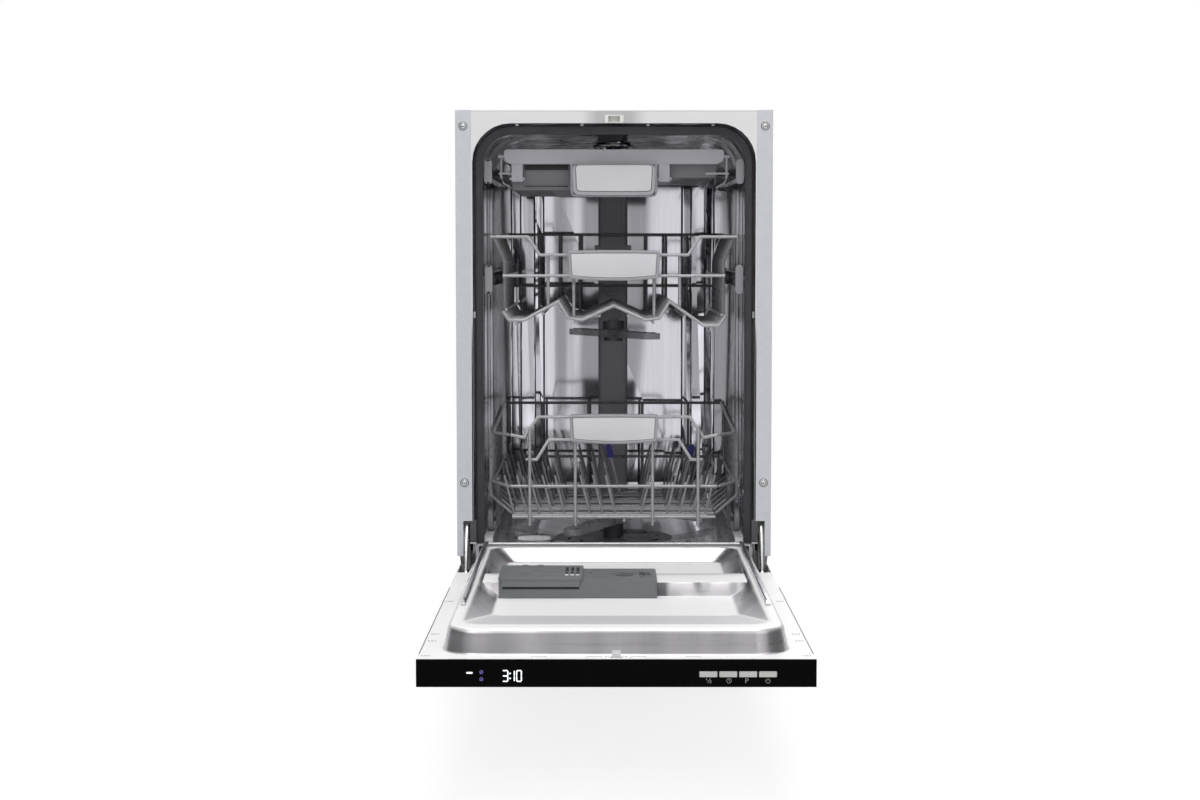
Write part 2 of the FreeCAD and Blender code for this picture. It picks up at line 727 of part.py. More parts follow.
def filter_cup():
    """Cylindrical micro-filter with its turning handle."""
    top = sump_top() + SEAT_GAP
    x, y, radius = FILTER_X, FILTER_Y, FILTER_RADIUS
    cup = turned(x, y, [(radius, top - 58), (radius, top - 2)])
    collar = turned(x, y, [(radius + 2.5, top - 2), (radius + 2.5, top + 4)])
    hollow = turned(x, y, [(radius - 3, top - 55), (radius - 3, top + 15)])
    grip = block(x - radius + 2.5, x + radius - 2.5, y - 3, y + 3, top - 4, top + 9)
    return joined([cup, collar]).cut(hollow).fuse(grip)


def softener():
    """Water softener tank beside the sump with its salt neck through the floor."""
    tank = pad(SALT_X - 44, SALT_X + 46, 84, 188, 48, 166, 14)
    neck = drum(SALT_X, SALT_Y, 160, NECK_RADIUS, TUB_FLOOR + 1 - 160)
    return tank.fuse(neck).cut(drum(SALT_X, SALT_Y, 120, NECK_RADIUS - 4.5, 100))


def salt_cap():
    """Screw cap of the salt neck, with a raised grip."""
    z = TUB_FLOOR + 1 + SEAT_GAP
    disc = rod(SALT_X, SALT_Y, z, SALT_RADIUS, 4)
    reach = SALT_RADIUS - 7
    return disc.fuse(block(SALT_X - reach, SALT_X + reach, SALT_Y - 4, SALT_Y + 4, z + 3, z + 8.4))


def circulation_pump():
    """Wash pump with its motor can and the pipe to the water duct."""
    y = SUMP_Y + 110
    volute = drum(0, y + ROLLER_GAP, PUMP_Z, 34, 32, INWARD)
    motor = drum(0, y + 32, PUMP_Z, 29, 90, INWARD)
    foot_z = PUMP_Z + 18
    riser = drum(0, TUB_BACK - DUCT_DEPTH / 2, foot_z, 11, TUB_FLOOR - 4 - SEAT_GAP - foot_z)
    return joined([volute, motor, riser])


def drain_pump():
    """Drain pump on the side of the sump."""
    x = -105.3
    z = sump_top() - 50
    head = drum(x, SUMP_Y, z, 22, 20, RIGHT * -1)
    motor = pad(x - 62, x - 20, SUMP_Y - 18, SUMP_Y + 18, z - 17.8, z + 18.2, 5)
    return head.fuse(motor)


def inlet_valve():
    """Inlet valve with the threaded spigot for the water hose, set inside the rear opening."""
    end = BASE_REAR
    back = end - INLET_LENGTH
    body = pad(INLET_X - 22, INLET_X + 22, back - 44, back, INLET_Z - 20, INLET_Z + 32, 4)
    spigot = rod(INLET_X, back, INLET_Z, INLET_RADIUS, INLET_LENGTH, INWARD)
    bracket = block(INLET_X - 30, INLET_X + 30, back - 2, back, BASE_FLOOR + BASE_WALL, INLET_Z + 32)
    hollow = drum(INLET_X, back + 2, INLET_Z, 8, INLET_LENGTH, INWARD)
    return joined([body, bracket, spigot]).cut(hollow)


def drain_spigot():
    """Waste-hose spigot on its bracket at the rear."""
    back = BASE_REAR - DRAIN_LENGTH
    bracket = block(DRAIN_X - 26, DRAIN_X + 26, back - 3, back, BASE_FLOOR + BASE_WALL, DRAIN_Z + 26)
    spigot = rod(DRAIN_X, back - 9, DRAIN_Z, DRAIN_RADIUS, DRAIN_LENGTH + 9, INWARD)
    hollow = drum(DRAIN_X, back - 10, DRAIN_Z, DRAIN_RADIUS - 3, DRAIN_LENGTH + 20, INWARD)
    return bracket.fuse(spigot).cut(hollow)


def base_tray():
    """Moulded base: open tray with stepped front corners, foot bosses and rests for the inner units."""
    plan = [
        (-BASE_HALF_FRONT, BASE_FRONT, BASE_FLOOR),
        (BASE_HALF_FRONT, BASE_FRONT, BASE_FLOOR),
        (BASE_HALF_FRONT, BASE_STEP, BASE_FLOOR),
        (BASE_HALF_REAR, BASE_STEP, BASE_FLOOR),
        (BASE_HALF_REAR, BASE_REAR, BASE_FLOOR),
        (-BASE_HALF_REAR, BASE_REAR, BASE_FLOOR),
        (-BASE_HALF_REAR, BASE_STEP, BASE_FLOOR),
        (-BASE_HALF_FRONT, BASE_STEP, BASE_FLOOR),
    ]
    body = sharp_slab(plan, (0, 0, BASE_TOP - BASE_FLOOR))
    w = BASE_WALL
    inside = BASE_FLOOR + w
    narrow, wide = BASE_HALF_FRONT - w, BASE_HALF_REAR - w
    hollow = block(-narrow, narrow, BASE_FRONT + w, BASE_REAR - w, inside, BASE_TOP + 1)
    rear_hollow = block(-wide, wide, BASE_STEP + w, BASE_REAR - w, inside, BASE_TOP + 1)
    rear_gap = block(-FOOT_X + 18, FOOT_X - 18, BASE_REAR - 10, BASE_REAR + 1, inside, BASE_TOP + 1)
    body = body.cut([hollow, rear_hollow, rear_gap])
    bosses, wells = [], []
    deep = BASE_TOP - BASE_FLOOR - 9
    for x in (-FOOT_X, FOOT_X):
        for y in FOOT_Y:
            bosses.append(block(x - 11, x + 11, y - 11, y + 11, BASE_FLOOR, BASE_TOP - 6))
            wells.append(drum(x, y, BASE_FLOOR - 1, STUD_RADIUS + STUD_RUN, deep, UP, STUD_SIDES))
    rests = [
        (-30, 30, SUMP_Y + 150, SUMP_Y + 154, PUMP_Z - 29),
        (-40, 40, SUMP_Y - 2, SUMP_Y + 2, sump_top() - SUMP_DEPTH),
        (SALT_X - 32, SALT_X + 28, 130, 136, 48),
        (-150, -136, SUMP_Y - 10, SUMP_Y - 6, sump_top() - 67.8),
    ]
    stands = [block(x0, x1, y0, y1, BASE_FLOOR + 1, top - SEAT_GAP) for x0, x1, y0, y1, top in rests]
    return joined([body] + stands + bosses).cut(wells)


def kick_plate():
    """Plinth cover in front of the base, with a row of air slots."""
    plate = face_plate(-HALF + 6, HALF - 6, 28, 126, BASE_FRONT - 3, BASE_FRONT, 4)
    slots = [block(x - 14, x + 14, BASE_FRONT - 5, BASE_FRONT + 1, 44, 49) for x in spread(-120, 120, 6)]
    return plate.cut(slots)


def foot(x, y):
    """Levelling foot: stud, hexagon and round pad."""
    sole = turned(x, y, [(FOOT_RADIUS - 2, 0), (FOOT_RADIUS, 3), (FOOT_RADIUS - 6, 9)])
    nut = drum(x, y, 9, STUD_RADIUS + 5, 8, UP, 6)
    stud = drum(x, y, 17, STUD_RADIUS, STUD_LENGTH - 8, UP, STUD_SIDES)
    return joined([sole, nut, stud])


def hinge_brackets():
    """Fixed hinge plates bolted to the sides of the tub, with their front covers and the door's pins."""
    x1 = ARM_X - 0.6
    x0 = x1 - HINGE_PLATE
    corners = [
        (x0, HINGE_Y - 9, HINGE_Z - 4),
        (x0, HINGE_Y - 4, HINGE_Z - 9),
        (x0, HINGE_Y + 12, HINGE_Z - 12),
        (x0, 84, HINGE_Z + 10),
        (x0, 84, NOTCH_TOP - 6),
        (x0, 30, NOTCH_TOP - 6),
        (x0, 24, NOTCH_TOP - 10),
        (x0, HINGE_Y - 9, HINGE_Z + 10),
    ]
    plate = sharp_slab(corners, (HINGE_PLATE, 0, 0))
    wall = TUB_HALF + TUB_SHEET
    bosses = [drum(wall, y, 206, 6, x0 + 1 - wall, RIGHT, 8) for y in (42, 72)]
    cover = block(wall + 0.5, x1, 22, 25, FLANGE_BOTTOM + 5, NOTCH_TOP - 12)
    pin = rod(x0, HINGE_Y, HINGE_Z, HINGE_PIN_RADIUS, ARM_X + ARM_THICK + 1 - x0, RIGHT)
    head = drum(ARM_X + ARM_THICK + 0.6, HINGE_Y, HINGE_Z, 6.5, 1.6, RIGHT, 12)
    return pair(joined([plate, pin, head, cover] + bosses))


def hinge_arm():
    """Right door arm: a leg inside the door, the eye, and the curved lever behind the flange."""
    x = ARM_X
    leg = sharp_slab([(x, -170, 141), (x, -8, 141), (x, -8, 160), (x, -170, 154)], (ARM_THICK, 0, 0))
    eye = drum(x, HINGE_Y, HINGE_Z, 11, ARM_THICK, RIGHT)
    outer = [(-22, 152), (-18.5, 172), (-12, 192), (-3, 211), (8, 228)]
    inner = [(20, 222), (11.5, 206), (5, 190), (-0.5, 170), (-4, 150)]
    lever = sharp_slab([(x, y, z) for y, z in outer + inner], (ARM_THICK, 0, 0))
    stay = block(x + ARM_THICK, DOOR_HALF - DOOR_SHEET, -160, -120, 143, 151)
    arm = joined([leg, eye, lever, stay])
    return arm.cut(bore(x - 1, HINGE_Y, HINGE_Z, HINGE_PIN_RADIUS + HINGE_RUN, 10, RIGHT))


def door_outer_panel():
    """Outer door sheet, folded up on three sides, with hinge slots and holes for the furniture front."""
    y0 = DOOR_FRONT + PANEL_STRIP
    tray = block(-DOOR_HALF, DOOR_HALF, y0, DOOR_REAR, DOOR_BACK_Z, BORDER_Z - DOOR_SHEET)
    inside = block(
        -DOOR_HALF + DOOR_SHEET,
        DOOR_HALF - DOOR_SHEET,
        y0 - 1,
        DOOR_REAR - DOOR_SHEET,
        DOOR_BACK_Z + DOOR_SHEET,
        BORDER_Z + 1,
    )
    slot = block(
        ARM_X - HINGE_PLATE - 2,
        ARM_X + ARM_THICK + 4,
        DOOR_REAR - 2 * DOOR_SHEET,
        DOOR_REAR + 1,
        DOOR_BACK_Z + DOOR_SHEET,
        BORDER_Z,
    )
    xs, ys = FRONT_SCREWS
    holes = [rod(x, y, DOOR_BACK_Z - 1, FRONT_SCREW_RADIUS, 5) for x in xs for y in ys]
    return tray.cut([inside, slot, mirrored(slot)] + holes)


def pan_ring(inset, z):
    """Level ring of corners around the raised door pan."""
    x = PAN_HALF - inset
    plan = rounded(
        -x, x, PAN_FRONT + inset, PAN_REAR - inset, PAN_CORNER - inset, PAN_REAR_CORNER - inset, PAN_STEPS
    )
    return [Vector(px, py, z) for px, py in plan]


def pan_form(sheet):
    """Raised pan with rounded rim and foot; the sheet value sets the skin back from the outside."""
    quarter = [math.radians(a) for a in spread(0, 90, ROUND_STEPS + 1)]
    profile = [(-FOOT_ROUND, BORDER_Z - sheet - 0.5)]
    for a in quarter:
        reach = FOOT_ROUND + sheet
        profile.append((reach * math.sin(a) - FOOT_ROUND, BORDER_Z + FOOT_ROUND - reach * math.cos(a)))
    for a in quarter:
        reach = RIM_ROUND - sheet
        profile.append((PAN_DRAFT + RIM_ROUND - reach * math.cos(a), RIM_Z - RIM_ROUND + reach * math.sin(a)))
    return solid_between([pan_ring(inset, z) for inset, z in profile])


def recess_ring(share, grow, z):
    """Level ring of corners in the hollow, between its floor (share 0) and its rim (share 1)."""
    half = PAN_HALF - RECESS_SIDE - RECESS_SLOPE * (1 - share) + grow
    y0 = RECESS_RAMP_END + (PAN_FRONT + RECESS_FRONT - RECESS_RAMP_END) * share - grow
    y1 = PAN_REAR - RECESS_REAR - RECESS_REAR_SLOPE * (1 - share) + grow
    radius = RECESS_LOW_CORNER + (RECESS_CORNER - RECESS_LOW_CORNER) * share + grow
    return [Vector(x, y, z) for x, y in rounded(-half, half, y0, y1, radius, radius, PAN_STEPS)]


def door_recess(sheet):
    """Hollow pressed into the pan, with the cross step for the dispenser left standing."""
    rounding = [(0, -3.0), (0.02, -1.1), (0.09, 0), (0.92, 0), (0.98, 0.7), (1, 2.2)]
    rings = []
    for share, grow in rounding:
        rings.append(recess_ring(share, grow + sheet, RECESS_Z + RECESS_DEPTH * share - sheet))
    rings.append([Vector(p.x, p.y, RIM_Z + 1) for p in rings[-1]])
    foot_z = RECESS_Z - sheet - 1
    shoulder = [(0, foot_z), (STEP_SLOPE, STEP_Z - 3)]
    shoulder += [(STEP_SLOPE + 1.5, STEP_Z - 0.8), (STEP_SLOPE + 4.5, STEP_Z)]
    front = [(-PAN_HALF, STEP_FRONT + u + sheet, z - sheet) for u, z in shoulder]
    back = [(-PAN_HALF, STEP_BACK - u - sheet, z - sheet) for u, z in reversed(shoulder)]
    return solid_between(rings).cut(sharp_slab(front + back, (2 * PAN_HALF, 0, 0)))


def door_inner_liner():
    """Deep-drawn inner door: flat border, raised pan and the stepped hollow inside it."""
    low = BORDER_Z - DOOR_SHEET
    border = block(-DOOR_HALF, DOOR_HALF, DOOR_FRONT + PANEL_FACE + CONTROL_GAP, DOOR_REAR, low, BORDER_Z)
    skin = border.fuse(pan_form(0)).cut(door_recess(0))
    liner = skin.cut(pan_form(DOOR_SHEET).cut(door_recess(DOOR_SHEET)))
    corner = block(TUB_HALF + 4, HALF, HINGE_CUT_Y, DOOR_REAR + 1, low - 1, BORDER_Z + 1)
    gap = CONTROL_GAP
    x0, x1 = DISPENSER_X
    y0, y1 = DISPENSER_Y
    opening = block(x0 - gap, x1 + gap, y0 - gap, y1 + gap, low - 1, RIM_Z + 1)
    half = TONGUE_HALF + 1.5
    slot = block(-half, half, DOOR_FRONT + 9, DOOR_FRONT + 14.5, low - 1, BORDER_Z + 1)
    return liner.cut([corner, mirrored(corner), opening, slot])


def door_tracks():
    """Raised tracks on the pan rim that carry the lower basket's wheels, with a ramp at their front."""
    x, y0, y1 = TRACK_X, -490, PAN_REAR - PAN_DRAFT - RIM_ROUND - 1
    edge = TRACK_Z - 1.2
    section = [(-3, RIM_Z), (3, RIM_Z), (3, edge), (1.8, TRACK_Z), (-1.8, TRACK_Z), (-3, edge)]
    track = sharp_slab([(x + u, y0, z) for u, z in section], (0, y1 - y0, 0))
    top = TRACK_Z + 1
    ramp = [(x - 5, y0 - 10, top), (x - 5, y0 - 10, RIM_Z), (x - 5, y0 + 20, top)]
    return pair(track.cut(sharp_slab(ramp, (10, 0, 0))))


def dispenser_body():
    """Moulded dispenser: detergent chamber at the left, rinse-aid tank at the right."""
    x0, x1 = DISPENSER_X
    y0, y1 = DISPENSER_Y
    top = DISPENSER_TOP
    body = pad(x0, x1, y0, y1, top - DISPENSER_DEPTH, top, 5)
    chamber = pad(x0 + 12, LID_SPLIT - 12, y0 + 14, y1 - 14, top - 26, top + 1, 10)
    well = bore(CAP_X, (y0 + y1) / 2, top - 14, CAP_RADIUS + CAP_RUN, 20)
    thumb = pad(x1 - 22, x1 - 8, y0 + 34, y1 - 34, top - 3, top + 1, 3)
    return body.cut([chamber, well, thumb])


def dispenser_lid():
    """Sliding lid with a front skirt and a small grille at its right end."""
    x0 = DISPENSER_X[0]
    y0, y1 = DISPENSER_Y
    z0 = DISPENSER_TOP + CONTROL_GAP
    top = z0 + LID_THICK
    plate = pad(x0, LID_SPLIT, y0 - 4, y1, z0, top, 4)
    skirt = block(x0 + 4, LID_SPLIT - 4, y0 - 3.5, y0 - CONTROL_GAP, z0 - 8, z0 + 1)
    grille = []
    for x in (LID_SPLIT - 21, LID_SPLIT - 14, LID_SPLIT - 7):
        for y in (y0 + 44, y0 + 54):
            grille.append(block(x - 2.2, x + 2.2, y - 2.6, y + 2.6, top - 1.5, top + 1))
    return plate.fuse(skirt).cut(grille)


def rinse_cap():
    """Turning cap of the rinse-aid tank, with a round finger hollow and a bar across it."""
    y = sum(DISPENSER_Y) / 2
    top = DISPENSER_TOP - 0.5
    cap = rod(CAP_X, y, top - 13, CAP_RADIUS, 13)
    hollow = drum(CAP_X, y, top - 5.5, CAP_RADIUS - 4, 10)
    reach = CAP_RADIUS - 2
    return cap.cut(hollow).fuse(block(CAP_X - reach, CAP_X + reach, y - 2.5, y + 2.5, top - 7.5, top))


def control_panel():
    """Glossy strip along the top edge of the door, with openings for the buttons."""
    y0 = DOOR_FRONT
    face = block(-DOOR_HALF, DOOR_HALF, y0, y0 + PANEL_FACE, DOOR_BACK_Z, BORDER_Z)
    floor = block(-DOOR_HALF, DOOR_HALF, y0, y0 + PANEL_STRIP, DOOR_BACK_Z, DOOR_BACK_Z + 2)
    ends = block(DOOR_HALF - 2, DOOR_HALF, y0, y0 + PANEL_STRIP, DOOR_BACK_Z, BORDER_Z - DOOR_SHEET)
    half, tall = BUTTON_SIZE[0] / 2 + CONTROL_GAP, BUTTON_SIZE[1] / 2 + CONTROL_GAP
    cuts = [block(x - half, x + half, y0 - 1, y0 + 5, BUTTON_Z - tall, BUTTON_Z + tall) for x in BUTTON_X]
    return joined([face, floor, ends, mirrored(ends)]).cut(cuts)


def button(x):
    """One push button with the stem behind it."""
    half, tall = BUTTON_SIZE[0] / 2, BUTTON_SIZE[1] / 2
    head = block(x - half, x + half, DOOR_FRONT, DOOR_FRONT + 6, BUTTON_Z - tall, BUTTON_Z + tall)
    stem = block(x - 3, x + 3, DOOR_FRONT + 5, DOOR_FRONT + BUTTON_LENGTH, BUTTON_Z - 2, BUTTON_Z + 2)
    return head.fuse(stem)


def control_boards():
    """Circuit board behind the buttons and display module behind the dark strip."""
    y = DOOR_FRONT + BUTTON_LENGTH + 2
    floor = DOOR_BACK_Z + 2
    keys = block(KEYS_X[0], KEYS_X[1], y, y + 1.6, floor, BORDER_Z - 3)
    display = block(DISPLAY_X[0], DISPLAY_X[1], DOOR_FRONT + PANEL_FACE, y, floor, BORDER_Z - 4)
    return Part.Compound([keys, display])


def door_latch():
    """Latch in the top edge of the door with the tongue that enters the striker."""
    y0 = DOOR_FRONT
    body = block(-21, 21, y0 + PANEL_FACE + 0.5, y0 + 28, DOOR_BACK_Z + 8, BORDER_Z - DOOR_SHEET)
    tongue = block(-TONGUE_HALF, TONGUE_HALF, y0 + 10, y0 + 13.5, BORDER_Z - 4, BORDER_Z + 8)
    return body.fuse(tongue)


def lower_track():
    """Ledge along the right of the tub floor that the lower basket rolls on."""
    x, y = TRACK_X, LIP_Y + 23
    low = TRACK_Z - 2.5
    section = [(-6, low), (3, low), (3, TUB_FLOOR), (7, TUB_FLOOR), (7, TRACK_Z - 1)]
    section += [(6, TRACK_Z), (-6, TRACK_Z)]
    return sharp_slab([(x + u, y, z) for u, z in section], (0, RACK_BACK + 32 - y, 0))


def track_roller():
    """Fixed guide roller in front of the right track."""
    radius = 8
    y, z = LIP_Y + 5.2 + radius, TRACK_Z - radius - ROLLER_GAP
    wheel = drum(TRACK_X - 6, y, z, radius, 12, RIGHT)
    axle = block(TRACK_X, TUB_HALF, y - AXLE_HALF, y + AXLE_HALF, z - AXLE_HALF, z + AXLE_HALF)
    return wheel.fuse(axle)


def rail_pair(z):
    """Two sliding rails of I section, left and right."""
    x, half, thick = RAIL_X, RAIL_FLANGE / 2, RAIL_SHEET / 2
    tall = ROLLER_RADIUS + ROLLER_GAP
    y = RAIL_FRONT
    quarter = [(half, tall + RAIL_SHEET), (half, tall), (thick, tall)]
    right = quarter + [(u, -v) for u, v in reversed(quarter)]
    left = [(-u, v) for u, v in reversed(right)]
    section = [(x + u, y, z + v) for u, v in right + left]
    return pair(sharp_slab(section, (0, RAIL_LENGTH, 0)))


def rail_caps(z, height):
    """End caps of the sliding rails, round-ended in front and plain behind."""
    half, tall = RAIL_FLANGE / 2, height / 2
    x0, x1 = RAIL_X - half, RAIL_X + half
    front = face_plate(x0, x1, z - tall, z + tall, RAIL_FRONT - 7, RAIL_FRONT, half - 0.1)
    end = RAIL_FRONT + RAIL_LENGTH
    rear = block(x0, x1, end, end + 5, z - 13, z + 13)
    return Part.Compound([front, mirrored(front), rear, mirrored(rear)])


def roller(x, y, z, root):
    """Roller of a rack slide, its near face at x, on a square axle that ends at root."""
    wheel = drum(x, y, z, ROLLER_RADIUS, ROLLER_WIDTH, RIGHT)
    ends = sorted((x + ROLLER_WIDTH / 2, root))
    return wheel.fuse(block(ends[0], ends[1], y - AXLE_HALF, y + AXLE_HALF, z - AXLE_HALF, z + AXLE_HALF))


def rack_guides():
    """Everything fixed to the tub that guides the racks: floor tracks and rollers, left and right."""
    inner = RAIL_X + RAIL_SHEET / 2 + ROLLER_GAP
    fixed = [lower_track(), track_roller()]
    for z in (UPPER_RAIL_Z, TRAY_RAIL_Z):
        fixed += [roller(inner, y, z, TUB_HALF) for y in TUB_ROLLER_Y]
    return Part.Compound(fixed + [mirrored(piece) for piece in fixed])


def rack_rollers(z, root):
    """Rollers of one rack side, on axles that reach inward to the given x."""
    x = RAIL_X - RAIL_SHEET / 2 - ROLLER_GAP - ROLLER_WIDTH
    return [roller(x, y, z, root) for y in RACK_ROLLER_Y]


def upper_carriers():
    """Side carriers of the upper basket with their rollers and the ledges that hold the basket."""
    x = CARRIER_X
    y0, y1 = RACK_ROLLER_Y[0] - 18, RACK_ROLLER_Y[1] + 18
    lever_y = (y0 + y1) / 2
    edge = [(y0, -20), (y1, -20), (y1, 16), (lever_y + 20, 24), (lever_y - 20, 24), (y0, 16)]
    plate = sharp_slab([(x, y, UPPER_RAIL_Z + v) for y, v in edge], (CARRIER_SHEET, 0, 0))
    top = UPPER_MID_Z - WIRE / 2 - SEAT_GAP
    ledges = [block(x - 7, x + 1, y, y + 40, top - 3, top) for y in (y0 + 28, y0 + 76)]
    return pair(joined([plate] + ledges + rack_rollers(UPPER_RAIL_Z, x + 1)))


def adjust_levers():
    """Coloured levers that free the height adjustment."""
    x = CARRIER_X + CARRIER_SHEET
    y = sum(RACK_ROLLER_Y) / 2
    edge = [(-8, 12), (8, 12), (14, 33), (11, 36), (-11, 36), (-14, 33)]
    return pair(sharp_slab([(x, y + u, UPPER_RAIL_Z + v) for u, v in edge], (4, 0, 0)))


def handle_ring(half, low, high, y):
    """Upright outline of a handle: rounded corners, slightly bowed top and bottom."""
    corner = CORNER_STEPS + 1
    plan = rounded(-half, half, low, high, HANDLE_CORNER, HANDLE_CORNER)
    across = [half * share for share in (-0.5, 0, 0.5)]
    bottom = [(x, low) for x in across]
    top = [(x, high) for x in reversed(across)]
    plan = plan[:corner] + bottom + plan[corner : 3 * corner] + top + plan[3 * corner :]
    middle = (low + high) / 2
    ring = []
    for x, z in plan:
        bow = HANDLE_BOW * (x / half) ** 2
        ring.append(Vector(x, y, z + bow if z < middle else z - bow))
    return ring


def handle(half, low, high, y, depth):
    """Rack handle: bowed front plate with a rim, hollow behind and open below for the fingers."""
    wall = HANDLE_WALL
    inset = wall + HANDLE_BOW
    shell = solid_between([handle_ring(half, low, high, y), handle_ring(half, low, high, y + depth)])
    hollow = block(wall - half, half - wall, y + wall, y + depth + 1, low + inset, high - inset)
    below = block(14 - half, half - 14, y + wall, y + depth + 1, low - 1, (low + high) / 2)
    return shell.cut([hollow, below])


def straight(a, b):
    """Straight wire between two points."""
    return wire_run([a, b], WIRE)


def upper_profile():
    """Points across the wave floor of the upper basket, with a shelf at each side."""
    left, right = UPPER_SHELF
    edge = UPPER_HALF - UPPER_SHELF_EDGE
    shelf = edge - UPPER_SHELF_WIDTH
    start = [(-UPPER_HALF, left + UPPER_SHELF_RISE), (-edge, left), (-shelf, left)]
    end = [(shelf, right), (edge, right), (UPPER_HALF, right + UPPER_SHELF_RISE)]
    return [(x, UPPER_RAIL_Z + rise) for x, rise in start + list(UPPER_WAVE) + end]


def upper_floor_wires():
    """Wave-shaped floor of the upper basket: cross wires and the wires that tie them from below."""
    rows = spread(RACK_FRONT, RACK_BACK, UPPER_ROWS)
    profile = upper_profile()
    wires = [wire_run([(x, y, z) for x, z in profile], WIRE) for y in rows]
    for (xa, za), (xb, zb) in zip(profile, profile[1:]):
        length = math.hypot(xb - xa, zb - za)
        if length > 20:
            x = (xa + xb) / 2 + CROSSING * (zb - za) / length
            z = (za + zb) / 2 - CROSSING * (xb - xa) / length
            wires.append(straight((x, RACK_FRONT - 3, z), (x, RACK_BACK + 3, z)))
    return wires


def upper_side_wires(foot_z):
    """Right wall of the upper basket from its foot height, flared above the bend."""
    wires = []
    for y in spread(RACK_FRONT, RACK_BACK, UPPER_ROWS)[1:-1]:
        share = (y - RACK_FRONT) / (RACK_BACK - RACK_FRONT)
        rim = UPPER_RIM_FRONT + (UPPER_RIM_REAR - UPPER_RIM_FRONT) * share
        run = [(UPPER_HALF, y, foot_z), (UPPER_HALF, y, UPPER_BEND_Z), (UPPER_FLARE, y, rim)]
        wires.append(wire_run(run, WIRE))
    inner = UPPER_HALF - CROSSING
    front, rear = RACK_FRONT + WIRE_REACH, RACK_BACK - WIRE_REACH
    for z in (foot_z, UPPER_MID_Z):
        wires.append(straight((inner, front, z), (inner, rear, z)))
    rise = UPPER_RIM_FRONT - UPPER_BEND_Z
    rim_x = UPPER_FLARE - CROSSING * math.hypot(rise, UPPER_FLARE_OUT) / rise
    wires.append(straight((rim_x, front, UPPER_RIM_FRONT), (rim_x, rear, UPPER_RIM_REAR)))
    return wires


def floor_height(x):
    """Height of the upper floor wave at a place across it."""
    profile = upper_profile()
    for (xa, za), (xb, zb) in zip(profile, profile[1:]):
        if xa <= x <= xb:
            return za + (zb - za) * (x - xa) / (xb - xa)
    return profile[-1][1]


def upper_front_wires():
    """Front of the upper basket: stepped top wire, lower wire and uprights behind them."""
    y, behind = RACK_FRONT, RACK_FRONT + CROSSING
    reach = UPPER_FLARE + WIRE / 2
    right = [(107, UPPER_LINTEL_Z), (124, UPPER_RIM_FRONT), (reach, UPPER_RIM_FRONT)]
    run = [(-x, z) for x, z in reversed(right)] + right
    wires = [wire_run([(x, y, z) for x, z in run], WIRE)]
    wires.append(straight((-UPPER_HALF, y, UPPER_MID_Z), (UPPER_HALF, y, UPPER_MID_Z)))
    for x in [side * x for side in (-1, 1) for x in UPPER_FRONT_X]:
        wires.append(straight((x, behind, floor_height(x) - 1), (x, behind, UPPER_LINTEL_Z)))
    return wires


def upper_rear_wires():
    """Back of the upper basket."""
    y, behind = RACK_BACK, RACK_BACK + CROSSING
    reach = UPPER_FLARE + WIRE / 2
    mid_z = UPPER_RAIL_Z - UPPER_REAR_DROP
    wires = [straight((-reach, y, UPPER_RIM_REAR), (reach, y, UPPER_RIM_REAR))]
    wires.append(straight((-UPPER_HALF, y, mid_z), (UPPER_HALF, y, mid_z)))
    for x in [side * x for side in (-1, 1) for x in UPPER_REAR_X]:
        wires.append(straight((x, behind, floor_height(x) - 1), (x, behind, UPPER_RIM_REAR)))
    return wires


def upper_basket_wires():
    """Upper basket: floor, two sides, front and rear, every wire laid against the next."""
    profile = upper_profile()
    right = upper_side_wires(profile[-1][1] + WIRE / 2)
    left = [mirrored(wire) for wire in upper_side_wires(profile[0][1] + WIRE / 2)]
    return Part.Compound(upper_floor_wires() + right + left + upper_front_wires() + upper_rear_wires())


def feed_pipe():
    """Water pipe under the upper basket, from the rear dock to the arm's hub, hung on two saddles."""
    end = TUB_BACK - DUCT_DEPTH - DUCT_PORT - RACK_GAP
    start = UPPER_ARM_Y - 14
    pipe = drum(0, start, FEED_Z, FEED_RADIUS, end - start, INWARD)
    low = UPPER_ARM_Z - ROLLER_GAP
    post = rod(0, UPPER_ARM_Y, low, UPPER_POST, FEED_Z - low)
    collar = drum(0, UPPER_ARM_Y, UPPER_ARM_Z + ARM_BLADE + ARM_HUB_RISE + 0.5, 17, 12)
    (xa, za), (xb, zb) = UPPER_WAVE[2:4]
    slope = (zb - za) / (xb - xa)
    under = slope * SADDLE_HALF + WIRE / 2 * math.sqrt(1 + slope * slope) + SEAT_GAP
    saddle_top = UPPER_RAIL_Z + zb - under
    parts = [pipe, post, collar]
    for y in (UPPER_ARM_Y, spread(RACK_FRONT, RACK_BACK, UPPER_ROWS)[-2]):
        parts.append(block(-SADDLE_HALF, SADDLE_HALF, y - 5, y + 5, FEED_Z + 6, saddle_top))
    return joined(parts)


def arm_nut():
    """Nut that holds the upper spray arm on its post."""
    z = UPPER_ARM_Z - ROLLER_GAP - SEAT_GAP
    return drum(0, UPPER_ARM_Y, z - 6, 15, 6, UP, 12)


def spray_arm(y, z, reach, radius):
    """Spray arm: round-ended hollow blade with a rib along it and a hub ring."""
    plan = rounded(-reach, reach, y - ARM_TIP, y + ARM_TIP, ARM_TIP - 1, ARM_TIP - 1)
    blade = solid_between([[Vector(px, py, h) for px, py in plan] for h in (z, z + ARM_BLADE)])
    ring = drum(0, y, z, ARM_HUB + 3, ARM_BLADE + ARM_HUB_RISE, UP, FUNNEL_SIDES)
    rib = block(14 - reach, reach - 14, y - 2, y + 2, z + ARM_BLADE - 1, z + ARM_BLADE + 1.5)
    return joined([blade, ring, rib]).cut(bore(0, y, z - 1, radius, ARM_BLADE + 10))


